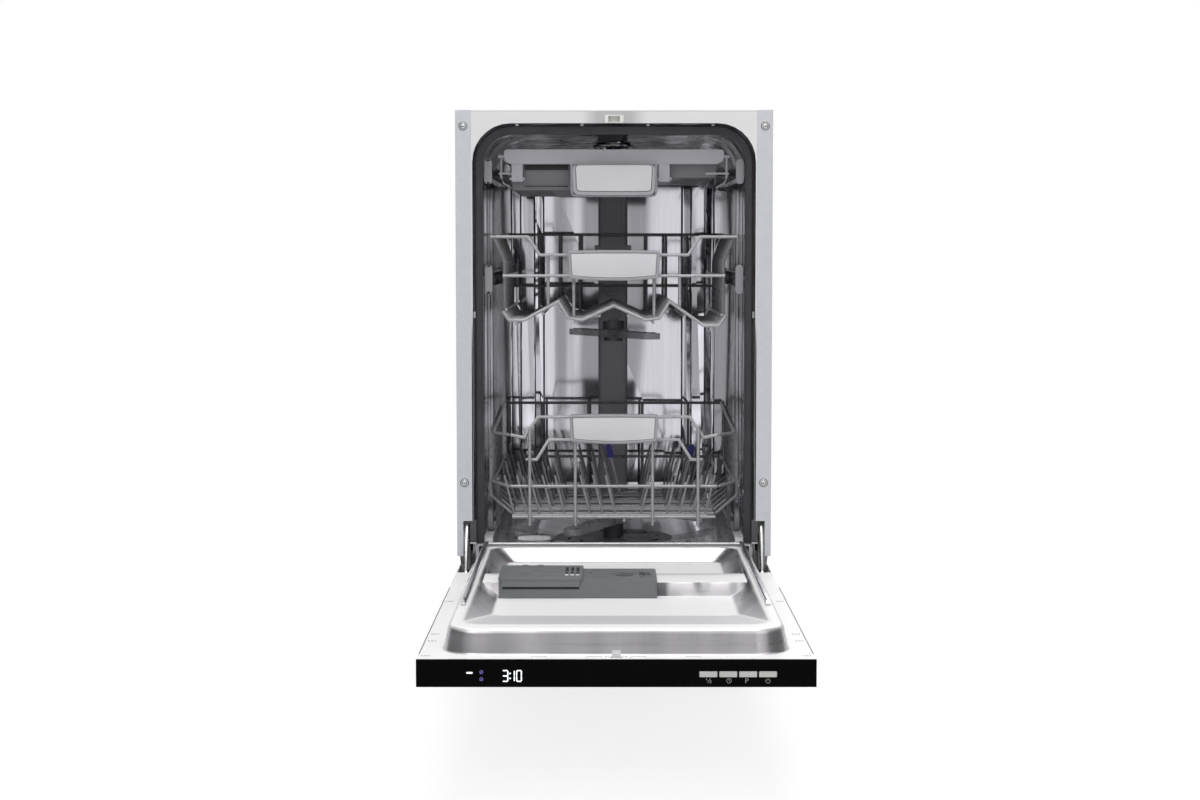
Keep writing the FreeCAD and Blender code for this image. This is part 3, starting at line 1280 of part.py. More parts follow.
def lower_spray_arm():
    """Lower spray arm on the sump post, closed by a cap, at the angle seen from the front."""
    arm = spray_arm(SUMP_Y, LOWER_ARM_Z, LOWER_ARM_REACH, LOWER_POST + SPIN_RUN)
    arm = arm.fuse(drum(0, SUMP_Y, LOWER_ARM_Z + ARM_BLADE + 1, LOWER_POST + 3, 3))
    arm.rotate(Vector(0, SUMP_Y, 0), UP, LOWER_ARM_TURN)
    return arm


def upper_spray_arm():
    """Upper spray arm under the basket, at the angle seen from the front."""
    arm = spray_arm(UPPER_ARM_Y, UPPER_ARM_Z, UPPER_ARM_REACH, UPPER_POST + SPIN_RUN)
    arm.rotate(Vector(0, UPPER_ARM_Y, 0), UP, UPPER_ARM_TURN)
    return arm


def lower_floor_wires():
    """Floor grid of the lower basket, the ties under the cross wires."""
    half = LOWER_FLOOR_HALF - WIRE / 2
    rows = spread(RACK_FRONT, RACK_BACK, LOWER_ROWS)
    wires = [straight((-half, y, LOWER_FLOOR), (half, y, LOWER_FLOOR)) for y in rows]
    z = LOWER_FLOOR - CROSSING
    return wires + [straight((x, RACK_FRONT - 1.2, z), (x, RACK_BACK + 1.2, z)) for x in FLOOR_TIE_X]


def lower_side_wires():
    """Right wall of the lower basket, with its slanted foot and the turned front corner."""
    wires = []
    slope = (LOWER_TOP_REAR - LOWER_TOP_FRONT) / (RACK_BACK - LOWER_CORNER_Y)
    for y in spread(RACK_FRONT, RACK_BACK, LOWER_ROWS)[1:-1]:
        top = LOWER_TOP_FRONT + slope * (y - LOWER_CORNER_Y)
        run = [(LOWER_FLOOR_HALF, y, LOWER_FLOOR), (LOWER_HALF, y, LOWER_BEND_Z), (LOWER_HALF, y, top)]
        wires.append(wire_run(run, WIRE))
    inner = LOWER_HALF - CROSSING
    upper = (LOWER_TOP_FRONT - 1, LOWER_TOP_FRONT, LOWER_TOP_REAR)
    rim = (LOWER_RIM - 2, LOWER_RIM + 2, LOWER_RIM + 3)
    for front, middle, rear in (upper, rim):
        run = [(RIM_TURN, RACK_FRONT + 1, front), (inner, LOWER_CORNER_Y, middle)]
        run.append((inner, RACK_BACK - WIRE_REACH, rear))
        wires.append(wire_run(run, WIRE))
    return wires


def lower_front_wires():
    """Front of the lower basket: stepped top wires, rim wire and uprights before them."""
    y, before = RACK_FRONT, RACK_FRONT - CROSSING
    end = RIM_TURN - 2
    top = LOWER_HANDLE[2] - 5
    low = LOWER_TOP_FRONT - 5
    halves = [
        [(110, top), (130, low), (end, low + 4)],
        [(94, top - 33), (112, low - 32), (128, low - 32)],
        [(end, LOWER_RIM - 2)],
    ]
    wires = []
    for half in halves:
        run = [(-x, y, z) for x, z in reversed(half)] + [(x, y, z) for x, z in half]
        wires.append(wire_run(run, WIRE))
    for x, height in ((56, top), (122, low + 13)):
        upright = straight((x, before, LOWER_FLOOR - 12), (x, before, height))
        wires += [upright, mirrored(upright)]
    return wires


def lower_rear_wires():
    """Back of the lower basket."""
    y, behind = RACK_BACK, RACK_BACK + CROSSING
    reach = LOWER_HALF - WIRE / 2
    wires = [straight((-reach, y, z), (reach, y, z)) for z in (LOWER_TOP_REAR, LOWER_RIM + 3)]
    return wires + [straight((x, behind, LOWER_FLOOR - 9), (x, behind, LOWER_TOP_REAR)) for x in LOWER_REAR_X]


def lower_basket_wires():
    """Lower basket: floor, two sides, front and rear, with its fixed tine rows."""
    side = lower_side_wires()
    wires = lower_floor_wires() + side + [mirrored(wire) for wire in side]
    wires += lower_front_wires() + lower_rear_wires()
    first, last = row_ends()
    for row, height in FIXED_TINES:
        y = lower_row_y(row)
        wires.append(straight((first, y, LOWER_FLOOR), (last, y, LOWER_FLOOR)))
        wires += tines(y, LOWER_FLOOR, height)
    return Part.Compound(wires)


def lower_row_y(row):
    """Depth of a place counted in floor wires from the front."""
    return RACK_FRONT + (RACK_BACK - RACK_FRONT) * row / (LOWER_ROWS - 1)


def row_ends():
    """Where the carrying wire of a tine row begins and ends."""
    start, pitch, count = RIGHT_TINES
    return LEFT_TINES[0] - 3, start + pitch * (count - 1) + 3


def tines(y, z, height):
    """Row of leaning tines that stand on a carrying wire at height z, cut level at both ends."""
    foot_z = z + WIRE / 2 + WELD
    lean = (height - WIRE / 2) * math.tan(math.radians(TINE_LEAN))
    row = []
    groups = ((LEFT_TINES, LEFT_SKIPPED, -1), (RIGHT_TINES, RIGHT_SKIPPED, 1))
    for (start, pitch, count), skipped, way in groups:
        for i in [i for i in range(count) if i != skipped]:
            x = start + pitch * i
            low = [Vector(x + u, y + v, foot_z) for u, v in hexagon(TINE_WIRE)]
            row.append(solid_between([low, [p + Vector(way * lean, 0, height - WIRE / 2) for p in low]]))
    return row


def fold_z():
    """Height of the pivot wire of the folding tine row."""
    return LOWER_FLOOR + WELD + ROLLER_GAP


def fold_rack():
    """Folding tine row on its round pivot wire."""
    row, height = FOLD_ROW
    y, z = lower_row_y(row), fold_z()
    first, last = row_ends()
    return Part.Compound([rod(first, y, z, WIRE / 2, last - first, RIGHT)] + tines(y, z, height))


def rack_grips():
    """Coloured grips on two posts of the folding row."""
    y = lower_row_y(FOLD_ROW[0])
    z = fold_z()
    grips = []
    for x, way in GRIPS:
        post = wire_run([(x, y, z + WIRE / 2 + SEAT_GAP), (x, y, z + 62)], TINE_WIRE)
        grip = face_plate(x - 5, x + 5, z + 58, z + 82, y - 4, y + 4, 4).fuse(post)
        grip.rotate(Vector(x, y, z), INWARD, way * TINE_LEAN)
        grips.append(grip)
    return Part.Compound(grips)


def tine_clips():
    """Bearings that hold the pivot wire on the basket floor."""
    clips = []
    y, z = lower_row_y(FOLD_ROW[0]), fold_z()
    seat_half = WIRE_REACH + WELD
    for x in (FLOOR_TIE_X[1], FLOOR_TIE_X[3]):
        body = block(x - 4, x + 4, y - 5, y + 5, z - 6.5, z + 5)
        seat = block(x - seat_half, x + seat_half, y - 6, y + 6, z - 7, z)
        clips.append(body.cut([bore(x - 5, y, z, WIRE / 2 + PIVOT_RUN, 10, RIGHT), seat]))
    return Part.Compound(clips)


def wheel_z():
    """Height of the lower basket's wheel axles."""
    return TRACK_Z + ROLLER_GAP + WHEEL_RADIUS


def wheel_brackets():
    """Moulded brackets on the basket sides that carry the wheel axles."""
    z = wheel_z()
    outer = LOWER_HALF - CROSSING - WIRE / 2 - ROLLER_GAP
    inner = outer - BRACKET_THICK
    rise = LOWER_BEND_Z + 26 - z
    end = TRACK_X + WHEEL_WIDTH / 2
    edge = [(-9, -9), (9, -9), (13, -4), (18, rise - 4), (15, rise), (-15, rise), (-18, rise - 4), (-13, -4)]
    brackets = []
    for y in [lower_row_y(row) for row in WHEEL_ROWS]:
        plate = sharp_slab([(inner, y + u, z + v) for u, v in edge], (BRACKET_THICK, 0, 0))
        axle = rod(outer - 1, y, z, AXLE_RADIUS, end + 1.2 - outer + 1, RIGHT)
        head = drum(end + 0.5, y, z, 4.4, 0.8, RIGHT, 6)
        brackets.append(joined([plate, axle, head]))
    return Part.Compound([s for b in brackets for s in (b, mirrored(b))])


def wheel_pair(y):
    """Two wheels on one line across the basket, dished on the outside."""
    z = wheel_z()
    x0 = TRACK_X - WHEEL_WIDTH / 2
    wheel = drum(x0, y, z, WHEEL_RADIUS, WHEEL_WIDTH, RIGHT, WHEEL_SIDES)
    dish = drum(x0 + WHEEL_WIDTH - 2, y, z, WHEEL_RADIUS - 3, 5, RIGHT).cut(drum(x0, y, z, 7, 20, RIGHT, 12))
    return pair(wheel.cut([dish, bore(x0 - 1, y, z, AXLE_RADIUS + AXLE_RUN, 20, RIGHT)]))


def tray_bar():
    """Front bar of the cutlery tray with the surround of its handle and two hanging clips."""
    y0 = RACK_FRONT - 3
    low = TRAY_TOP - TRAY_BAR
    half, drop, handle_drop = TRAY_HANDLE_SIZE
    base = TRAY_TOP - drop
    end = TRAY_HALF
    right = [(half - 4, base - 4), (half + 2, base - 2), (half + 4, base + 4), (half + 4, low)]
    right += [(end - 10, low), (end - 3, low + 3), (end, low + 10), (end, TRAY_TOP - 3), (end - 3, TRAY_TOP)]
    run = [(-x, y0, z) for x, z in reversed(right)] + [(x, y0, z) for x, z in right]
    bar = sharp_slab(run, (0, 8, 0))
    gap = CONTROL_GAP
    pocket = block(-half - gap, half + gap, y0 - 1, y0 + 5, base - gap, TRAY_TOP - handle_drop + gap)
    parts = [bar.cut(pocket)]
    top, bottom = [TRAY_TOP - d for d in TRAY_CLIP_DROP]
    for x0, x1 in TRAY_CLIP_X:
        parts.append(block(x0 + 3, x1 - 3, y0 + 1, y0 + 4, bottom, top + 2))
        parts.append(drum(x0, y0 + 2.5, bottom + 4, 2.2, x1 - x0, RIGHT, 6))
    return joined(parts)


def tray_frame():
    """Frame of the cutlery tray: front bar, side bars with rollers, rear bar and middle bar."""
    y0, y1 = RACK_FRONT + 3, RACK_BACK
    low, top = TRAY_TOP - TRAY_BAR + 4, TRAY_TOP - 6
    side = block(TRAY_HALF - 7, TRAY_HALF, y0, y1, low, top)
    rear = block(-TRAY_HALF, TRAY_HALF, y1 - 6, y1, low, top)
    start = RACK_ROLLER_Y[0] - 18
    foot_z = TRAY_RAIL_Z - 12
    edge = [(start, foot_z), (y1, foot_z), (y1, low + 2), (start - 20, low + 2)]
    cheek = sharp_slab([(TRAY_HALF - 3, y, z) for y, z in edge], (3, 0, 0))
    sides = joined([side, cheek] + rack_rollers(TRAY_RAIL_Z, TRAY_HALF - 1))
    middle = block(SEAT_GAP - INSERT_MIDDLE, INSERT_MIDDLE - SEAT_GAP, y0, y1, low, TRAY_TOP - 10)
    return joined([tray_bar(), sides, mirrored(sides), rear, middle])


def tray_handle():
    """Light front plate of the tray handle, set in the bar's surround."""
    half, drop, top_drop = TRAY_HANDLE_SIZE
    y = HANDLE_FRONT + 2
    return handle(half, TRAY_TOP - drop, TRAY_TOP - top_drop, y, RACK_FRONT + 2 - y)


def level_box(x0, x1, y0, y1, z):
    """Corners of a level rectangle."""
    return [Vector(x0, y0, z), Vector(x1, y0, z), Vector(x1, y1, z), Vector(x0, y1, z)]


def tray_insert(x0, x1, depth):
    """Open tapered cutlery compartment with a slotted floor and a comb of dividers."""
    y0, y1 = RACK_FRONT + 8, RACK_BACK - 10
    z0, z1 = TRAY_TOP - depth, TRAY_TOP - INSERT_TOP
    w = TRAY_WALL
    t = INSERT_TAPER
    outer = [level_box(x0 + t, x1 - t, y0 + t, y1 - t, z0), level_box(x0, x1, y0, y1, z1)]
    t += w
    inner = [level_box(x0 + t, x1 - t, y0 + t, y1 - t, z0 + w)]
    inner.append(level_box(x0 + w, x1 - w, y0 + w, y1 - w, z1 + 0.01))
    slots = []
    for y in spread(y0 + 44, y1 - 44, 5):
        for x in spread(x0 + 40, x1 - 40, 2):
            slots.append(block(x - 22, x + 22, y - 18, y + 18, z0 - 1, z0 + w + 1))
    shell = solid_between(outer).cut([solid_between(inner)] + slots)
    middle = (x0 + x1) / 2
    return shell.fuse(block(middle - 1, middle + 1, y0 + 5, y1 - 5, z0 + 0.5, z0 + 12))


def tray_inserts():
    """The two cutlery compartments, the left one deeper."""
    edge = TRAY_HALF - INSERT_EDGE
    left = tray_insert(-edge, -INSERT_MIDDLE, INSERT_DEPTHS[0])
    right = tray_insert(INSERT_MIDDLE, edge, INSERT_DEPTHS[1])
    return Part.Compound([left, right])


def upper_handle():
    """Handle of the upper basket."""
    half, low, high = UPPER_HANDLE_SIZE
    depth = RACK_FRONT - WIRE_REACH - SEAT_GAP - HANDLE_FRONT
    return handle(half, UPPER_RAIL_Z + low, UPPER_RAIL_Z + high, HANDLE_FRONT, depth)


def lower_handle():
    """Handle of the lower basket, in front of its uprights."""
    depth = RACK_FRONT - CROSSING - WIRE / 2 - WELD - HANDLE_FRONT
    return handle(*LOWER_HANDLE, HANDLE_FRONT, depth)


def build():
    """All pieces by name."""
    parts = {
        "tub_wrap": tub_wrap(),
        "tub_back_wall": tub_back_wall(),
        "tub_floor": tub_floor(),
        "door_seals": Part.Compound([door_gasket(), lower_seal()]),
        "side_panels": pair(side_panel()),
        "top_panel": top_panel(),
        "rear_panel": rear_panel(),
        "door_striker": door_striker(),
        "water_duct": water_duct(),
        "ceiling_sprayer": ceiling_sprayer(),
        "sump": sump(),
        "filters": Part.Compound([filter_plate(), filter_cup()]),
        "softener": softener(),
        "salt_cap": salt_cap(),
        "pumps": Part.Compound([circulation_pump(), drain_pump()]),
        "hose_connections": Part.Compound([inlet_valve(), drain_spigot()]),
        "base_tray": base_tray(),
        "kick_plate": kick_plate(),
        "hinge_brackets": hinge_brackets(),
        "rack_guides": rack_guides(),
        "hinge_arms": pair(hinge_arm()),
        "door_outer_panel": door_outer_panel(),
        "door_inner_liner": door_inner_liner(),
        "door_tracks": door_tracks(),
        "dispenser_body": dispenser_body(),
        "dispenser_lid": dispenser_lid(),
        "rinse_cap": rinse_cap(),
        "control_panel": control_panel(),
        "control_boards": control_boards(),
        "door_latch": door_latch(),
        "upper_rails": rail_pair(UPPER_RAIL_Z),
        "upper_rail_caps": rail_caps(UPPER_RAIL_Z, 42),
        "upper_carriers": upper_carriers(),
        "adjust_levers": adjust_levers(),
        "upper_basket_wires": upper_basket_wires(),
        "upper_handle": upper_handle(),
        "feed_pipe": Part.Compound([feed_pipe(), arm_nut()]),
        "upper_spray_arm": upper_spray_arm(),
        "lower_spray_arm": lower_spray_arm(),
        "lower_basket_wires": lower_basket_wires(),
        "lower_handle": lower_handle(),
        "fold_rack": fold_rack(),
        "rack_grips": rack_grips(),
        "tine_clips": tine_clips(),
        "wheel_brackets": wheel_brackets(),
        "wheels_front": wheel_pair(lower_row_y(WHEEL_ROWS[0])),
        "wheels_rear": wheel_pair(lower_row_y(WHEEL_ROWS[1])),
        "tray_rails": rail_pair(TRAY_RAIL_Z),
        "tray_rail_caps": rail_caps(TRAY_RAIL_Z, 36),
        "tray_frame": tray_frame(),
        "tray_handle": tray_handle(),
        "tray_inserts": tray_inserts(),
    }
    for i, x in enumerate(BUTTON_X):
        parts["button_%d" % (i + 1)] = button(x)
    for side, x in (("left", -FOOT_X), ("right", FOOT_X)):
        for end, y in zip(("front", "rear"), FOOT_Y):
            parts["foot_%s_%s" % (end, side)] = foot(x, y)
    return parts


os.makedirs("parts", exist_ok=True)
for name, shape in build().items():
    shape.translate(Vector(0, FRONT_Y, 0))
    shape.exportStep("parts/%s.step" % name)
    print(name, len(shape.Solids), round(shape.Volume), shape.isValid())
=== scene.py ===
import math

import bmesh
import bpy
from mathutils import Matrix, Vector


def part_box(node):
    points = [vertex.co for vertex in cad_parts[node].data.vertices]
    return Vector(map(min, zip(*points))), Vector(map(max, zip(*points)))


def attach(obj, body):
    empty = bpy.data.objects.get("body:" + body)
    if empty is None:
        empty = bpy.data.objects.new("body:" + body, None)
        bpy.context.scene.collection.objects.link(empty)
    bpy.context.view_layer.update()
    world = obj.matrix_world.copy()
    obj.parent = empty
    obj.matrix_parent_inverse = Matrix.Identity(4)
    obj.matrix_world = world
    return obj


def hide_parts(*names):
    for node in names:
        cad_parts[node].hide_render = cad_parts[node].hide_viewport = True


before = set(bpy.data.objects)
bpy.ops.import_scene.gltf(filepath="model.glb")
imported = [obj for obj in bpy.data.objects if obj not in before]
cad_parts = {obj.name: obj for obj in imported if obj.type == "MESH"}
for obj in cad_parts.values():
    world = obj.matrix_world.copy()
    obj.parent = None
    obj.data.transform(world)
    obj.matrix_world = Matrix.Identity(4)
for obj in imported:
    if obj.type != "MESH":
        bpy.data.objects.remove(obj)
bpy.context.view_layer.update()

# Looks of a slim built-in dishwasher. Blender's scene is in metres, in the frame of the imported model.
# Small pieces are written in millimetres, with y counted from the cabinet's front plane.
MM = 0.001
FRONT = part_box("side_panels")[0].y / MM
TOWARDS = Vector((0, -1, 0))
BACKWARDS = Vector((0, 1, 0))
UPWARDS = Vector((0, 0, 1))
DOWNWARDS = Vector((0, 0, -1))
LEFT = Vector((-1, 0, 0))
RIGHT = Vector((1, 0, 0))
PRINT = 0.05
PRINT_BREAK = 0.01
SMOOTH_ANGLE = 35
EDGE_ANGLE = 50
EDGE_WIDTH = 0.6 * MM
SEAM = 1e-6

# Camera fitted to the photograph
CAMERA_PLACE = (-0.0114, -2.870, 0.618)
CAMERA_PITCH = 4.15
CAMERA_LENS = 62.0
CAMERA_SHIFT = -0.005

# Texture scales of moulded plastic, from broad clouds to fine grain
CLOUDS, SHEEN, GRAIN = 18, 55, 1400
# Sockets of the Mix node: before, after and result
MIX_COLOUR, MIX_FLOAT = (6, 7, 2), (2, 3, 0)
# Half width of the painted darker reflection in the middle of the tub's flange, full and faded out
FLANGE_PAINTED_REFLECTION = (0.024, 0.046)
# Painted dark reflection streaks on the liner's step wall: fade in, length and fade out
STREAK_LEAD, STREAK_LENGTH, STREAK_FADE = 0.08, 0.1, 0.05


def extent(node):
    """Lowest and highest corner of a node in millimetres, y counted from the cabinet's front."""
    return [corner / MM - Vector((0, FRONT, 0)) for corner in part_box(node)]


def rgb(red, green, blue):
    """Linear colour from display values between 0 and 255."""

    def linear(value):
        value = value / 255
        return value / 12.92 if value <= 0.04045 else ((value + 0.055) / 1.055) ** 2.4

    return (linear(red), linear(green), linear(blue), 1.0)


def shade(colour, factor):
    """The colour made lighter or darker."""
    return tuple(min(1.0, channel * factor) for channel in colour[:3]) + (1.0,)


def map_range(nodes, links, value, start, end, low, high):
    """A stretch of a value mapped to a range."""
    remap = nodes.new("ShaderNodeMapRange")
    for socket, number in (("From Min", start), ("From Max", end), ("To Min", low), ("To Max", high)):
        remap.inputs[socket].default_value = number
    links.new(value, remap.inputs["Value"])
    return remap.outputs["Result"]


class Finish:
    """One node material, with short calls for the nodes that the finishes share."""

    def __init__(self, name, rough, metallic=0.0, **sockets):
        self.material = bpy.data.materials.new(name)
        self.material.use_nodes = True
        self.nodes = self.material.node_tree.nodes
        self.links = self.material.node_tree.links
        self.shader = self.nodes["Principled BSDF"]
        self.shader.inputs["Roughness"].default_value = rough
        self.shader.inputs["Metallic"].default_value = metallic
        for socket, value in sockets.items():
            self.shader.inputs[socket.replace("_", " ")].default_value = value
        coordinates = self.nodes.new("ShaderNodeTexCoord")
        self.place = coordinates.outputs["Object"]
        self.faces = coordinates.outputs["Normal"]
        self.normal = None

    def noise(self, scale, stretch=(1, 1, 1), detail=3.0):
        """Noise whose grain is drawn out where stretch is small."""
        mapping = self.nodes.new("ShaderNodeMapping")
        mapping.inputs["Scale"].default_value = stretch
        self.links.new(self.place, mapping.inputs["Vector"])
        texture = self.nodes.new("ShaderNodeTexNoise")
        texture.inputs["Scale"].default_value = scale
        texture.inputs["Detail"].default_value = detail
        self.links.new(mapping.outputs["Vector"], texture.inputs["Vector"])
        return texture.outputs["Fac"]

    def cells(self, scale):
        """Random grey value for each cell of a crystal pattern."""
        texture = self.nodes.new("ShaderNodeTexVoronoi")
        texture.inputs["Scale"].default_value = scale
        self.links.new(self.place, texture.inputs["Vector"])
        split = self.nodes.new("ShaderNodeSeparateColor")
        self.links.new(texture.outputs["Color"], split.inputs["Color"])
        return split.outputs["Red"]

    def span(self, value, low, high, start=0.3, end=0.7):
        """A stretch of a value mapped to a range; most noise lies in the stretch taken by default."""
        return map_range(self.nodes, self.links, value, start, end, low, high)

    def along(self, vector, axis, start, end):
        """Mask that rises from nought to one as a vector's share along an axis goes from start to end."""
        dot = self.nodes.new("ShaderNodeVectorMath")
        dot.operation = "DOT_PRODUCT"
        dot.inputs[1].default_value = axis
        self.links.new(vector, dot.inputs[0])
        return self.span(dot.outputs["Value"], 0, 1, start, end)

    def both(self, one, other):
        """Product of two masks."""
        product = self.nodes.new("ShaderNodeMath")
        product.operation = "MULTIPLY"
        self.links.new(one, product.inputs[0])
        self.links.new(other, product.inputs[1])
        return product.outputs["Value"]

    def tint(self, value, dark, light):
        """Base colour between two tones."""
        self.shader.inputs["Base Color"].default_value = dark
        self.patch(self.span(value, 0, 1), Base_Color=light)

    def patch(self, mask, **sockets):
        """Other values of some sockets where the mask is one."""
        for name, value in sockets.items():
            target = self.shader.inputs[name.replace("_", " ")]
            mix = self.nodes.new("ShaderNodeMix")
            colour = name == "Base_Color"
            mix.data_type = "RGBA" if colour else "FLOAT"
            before, after, out = MIX_COLOUR if colour else MIX_FLOAT
            if target.is_linked:
                self.links.new(target.links[0].from_socket, mix.inputs[before])
            else:
                mix.inputs[before].default_value = target.default_value
            mix.inputs[after].default_value = value
            self.links.new(mask, mix.inputs["Factor"])
            self.links.new(mix.outputs[out], target)

    def rough(self, value, low, high):
        """Roughness between two values."""
        self.links.new(self.span(value, low, high), self.shader.inputs["Roughness"])

    def bump(self, value, strength, distance, mask=None):
        """Relief added to the relief so far; a mask scales its strength."""
        node = self.nodes.new("ShaderNodeBump")
        node.inputs["Strength"].default_value = strength
        node.inputs["Distance"].default_value = distance
        if mask:
            self.links.new(self.span(mask, 0, strength, 0, 1), node.inputs["Strength"])
        self.links.new(value, node.inputs["Height"])
        if self.normal:
            self.links.new(self.normal, node.inputs["Normal"])
        self.normal = node.outputs["Normal"]
        self.links.new(self.normal, self.shader.inputs["Normal"])


def moulded(name, colour, rough, spread=0.05, **sockets):
    """Injection-moulded plastic: fine grain, faint cloudiness and uneven gloss."""
    look = Finish(name, rough, **sockets)
    look.tint(look.noise(CLOUDS), shade(colour, 1 - spread), shade(colour, 1 + spread))
    look.rough(look.noise(SHEEN), rough - 0.06, rough + 0.06)
    look.bump(look.noise(GRAIN), 0.12, 0.0002)
    return look.material


def polished_sheet(name, colour, rough, drawn, wave, metallic=1.0):
    """Polished stainless sheet, faintly brushed along one way and slightly wavy."""
    look = Finish(name, rough, metallic=metallic)
    along = tuple(0.03 if drawn[i] else 1.0 for i in range(3))
    look.tint(look.noise(260, along), shade(colour, 0.96), shade(colour, 1.03))
    look.rough(look.noise(420, along), rough * 0.8, rough * 1.25)
    ripple = tuple(0.06 if drawn[i] else 1.0 for i in range(3))
    look.bump(look.noise(14, ripple, 1.0), wave, 0.004)
    look.bump(look.noise(900, along), 0.03, 0.0002)
    return look.material


def tub_sheet(name, colour, flange):
    """Mirror-bright tub sheet with upright ripples and painted reflection streaks; its satin flange has a
    painted darker reflection about the striker.
    """
    look = Finish(name, 0.07, metallic=1.0)
    upright = (1.0, 1.0, 0.02)
    # painted reflections: upright light and dark streaks in the base colour
    look.tint(look.noise(22, upright, 4.0), shade(colour, 0.25), shade(colour, 1.15))
    look.rough(look.noise(300, upright), 0.05, 0.11)
    inside = look.along(look.faces, TOWARDS, 0.9, 0.6)
    look.bump(look.noise(9, upright, 2.0), 1.0, 0.025, inside)
    look.bump(look.noise(42, upright, 2.0), 1.0, 0.006, inside)
    front = look.along(look.faces, TOWARDS, 0.6, 0.9)
    look.patch(front, Base_Color=flange, Roughness=0.42, Metallic=0.3)
    # painted darker reflection in the middle of the flange, about the striker
    full, faded = FLANGE_PAINTED_REFLECTION
    right, left = [look.along(look.place, way, -faded, -full) for way in (RIGHT, LEFT)]
    look.patch(look.both(front, look.both(right, left)), Base_Color=shade(flange, 0.66))
    return look.material


def drawn_liner(name, level, upright, ramp, painted_streak):
    """Deep-drawn door sheet, bright on its walls; painted reflections make its level faces satin white, its
    ramp paler and its step streaked dark.
    """
    look = Finish(name, 0.3, metallic=0.95)
    streak_noise = look.noise(26, (1.0, 1.0, 0.03), 2.0)
    look.tint(streak_noise, shade(upright, 0.8), shade(upright, 1.15))
    end = LINER_STEP + STREAK_LENGTH
    step = look.both(
        look.along(look.place, BACKWARDS, LINER_STEP - STREAK_LEAD, LINER_STEP),
        look.along(look.place, TOWARDS, -end - STREAK_FADE, -end),
    )
    # painted reflection: dark streaks on the step wall
    look.patch(look.both(step, look.span(streak_noise, 1, 0, 0.42, 0.58)), Base_Color=painted_streak)
    look.rough(look.noise(120, (0.03, 0.1, 1.0)), 0.24, 0.36)
    look.bump(look.noise(14, (0.06, 0.3, 1.0), 1.0), 0.02, 0.004)
    # painted reflection: level faces painted near-white and satin, in place of the bright surroundings they
    # mirror
    look.patch(look.along(look.faces, UPWARDS, 0.82, 0.97), Base_Color=level, Metallic=0.02, Roughness=0.5)
    # painted reflection: the ramp painted paler
    look.patch(look.along(look.faces, BACKWARDS, 0.06, 0.11), Base_Color=ramp, Metallic=0.45)
    return look.material


def zinc_sheet(name, colour, rough):
    """Galvanised sheet with faint crystals."""
    look = Finish(name, rough, metallic=0.4)
    look.tint(look.cells(160), shade(colour, 0.985), shade(colour, 1.015))
    look.rough(look.noise(70), rough - 0.05, rough + 0.05)
    look.bump(look.noise(30), 0.02, 0.0005)
    return look.material


def coated_wire(name, colour, front, rear):
    """Nylon-coated wire, slightly uneven and softly shiny, with painted shade darkening it towards the rear.
    """
    look = Finish(name, 0.3, metallic=0.2)
    look.tint(look.noise(60), shade(colour, 0.9), shade(colour, 1.08))
    look.rough(look.noise(150), 0.24, 0.38)
    look.bump(look.noise(500), 0.08, 0.0003)
    # painted shade: base colour darkened towards the rear of the tub
    look.patch(look.along(look.place, BACKWARDS, front, rear), Base_Color=shade(colour, 0.42))
    return look.material


def grip_plastic(name, colour, post, height):
    """Coloured grips above a height, wire-grey posts below it."""
    look = Finish(name, 0.4)
    look.tint(look.noise(CLOUDS), shade(colour, 0.92), shade(colour, 1.08))
    look.rough(look.noise(SHEEN), 0.34, 0.46)
    look.bump(look.noise(GRAIN), 0.12, 0.0002)
    look.patch(look.along(look.place, DOWNWARDS, -height, -height + 0.001), Base_Color=post)
    return look.material


def rubber(name, colour):
    """Matt rubber with a little bloom."""
    look = Finish(name, 0.62, Specular_IOR_Level=0.35)
    look.tint(look.noise(45), shade(colour, 0.85), shade(colour, 1.15))
    look.rough(look.noise(90), 0.52, 0.72)
    look.bump(look.noise(1100), 0.15, 0.0003)
    return look.material


def smoked(name, colour):
    """Smoke-tinted clear plastic of the spray arms."""
    look = Finish(name, 0.16, Transmission_Weight=0.4, IOR=1.2, Alpha=0.62)
    look.tint(look.noise(25), shade(colour, 0.85), shade(colour, 1.15))
    look.rough(look.noise(80), 0.12, 0.22)
    look.bump(look.noise(400), 0.05, 0.0003)
    return look.material


def gloss_black(name, colour):
    """High-gloss black strip with the faintest haze."""
    look = Finish(name, 0.1, Specular_IOR_Level=0.035)
    look.tint(look.noise(20), shade(colour, 0.8), shade(colour, 1.3))
    look.rough(look.noise(40), 0.07, 0.14)
    look.bump(look.noise(8, detail=1.0), 0.01, 0.001)
    return look.material


def glowing(name, colour, strength):
    """Lit display segment, a little uneven."""
    look = Finish(name, 0.4, Emission_Strength=strength)
    look.tint(look.noise(300), shade(colour, 0.8), colour)
    look.shader.inputs["Emission Color"].default_value = colour
    return look.material


LIGHT_GREY = rgb(216, 216, 221)
MID_GREY = rgb(152, 152, 158)
DIM_GREY = rgb(112, 112, 118)
DARK_GREY = rgb(74, 73, 78)
WIRE_GREY = rgb(170, 169, 173)
GRIP_FOOT = 290 * MM
LINER_STEP = (FRONT - 300) * MM
# depths over which painted shade darkens the basket wires towards the rear
WIRE_PAINTED_SHADE = ((FRONT + 60) * MM, (FRONT + 260) * MM)

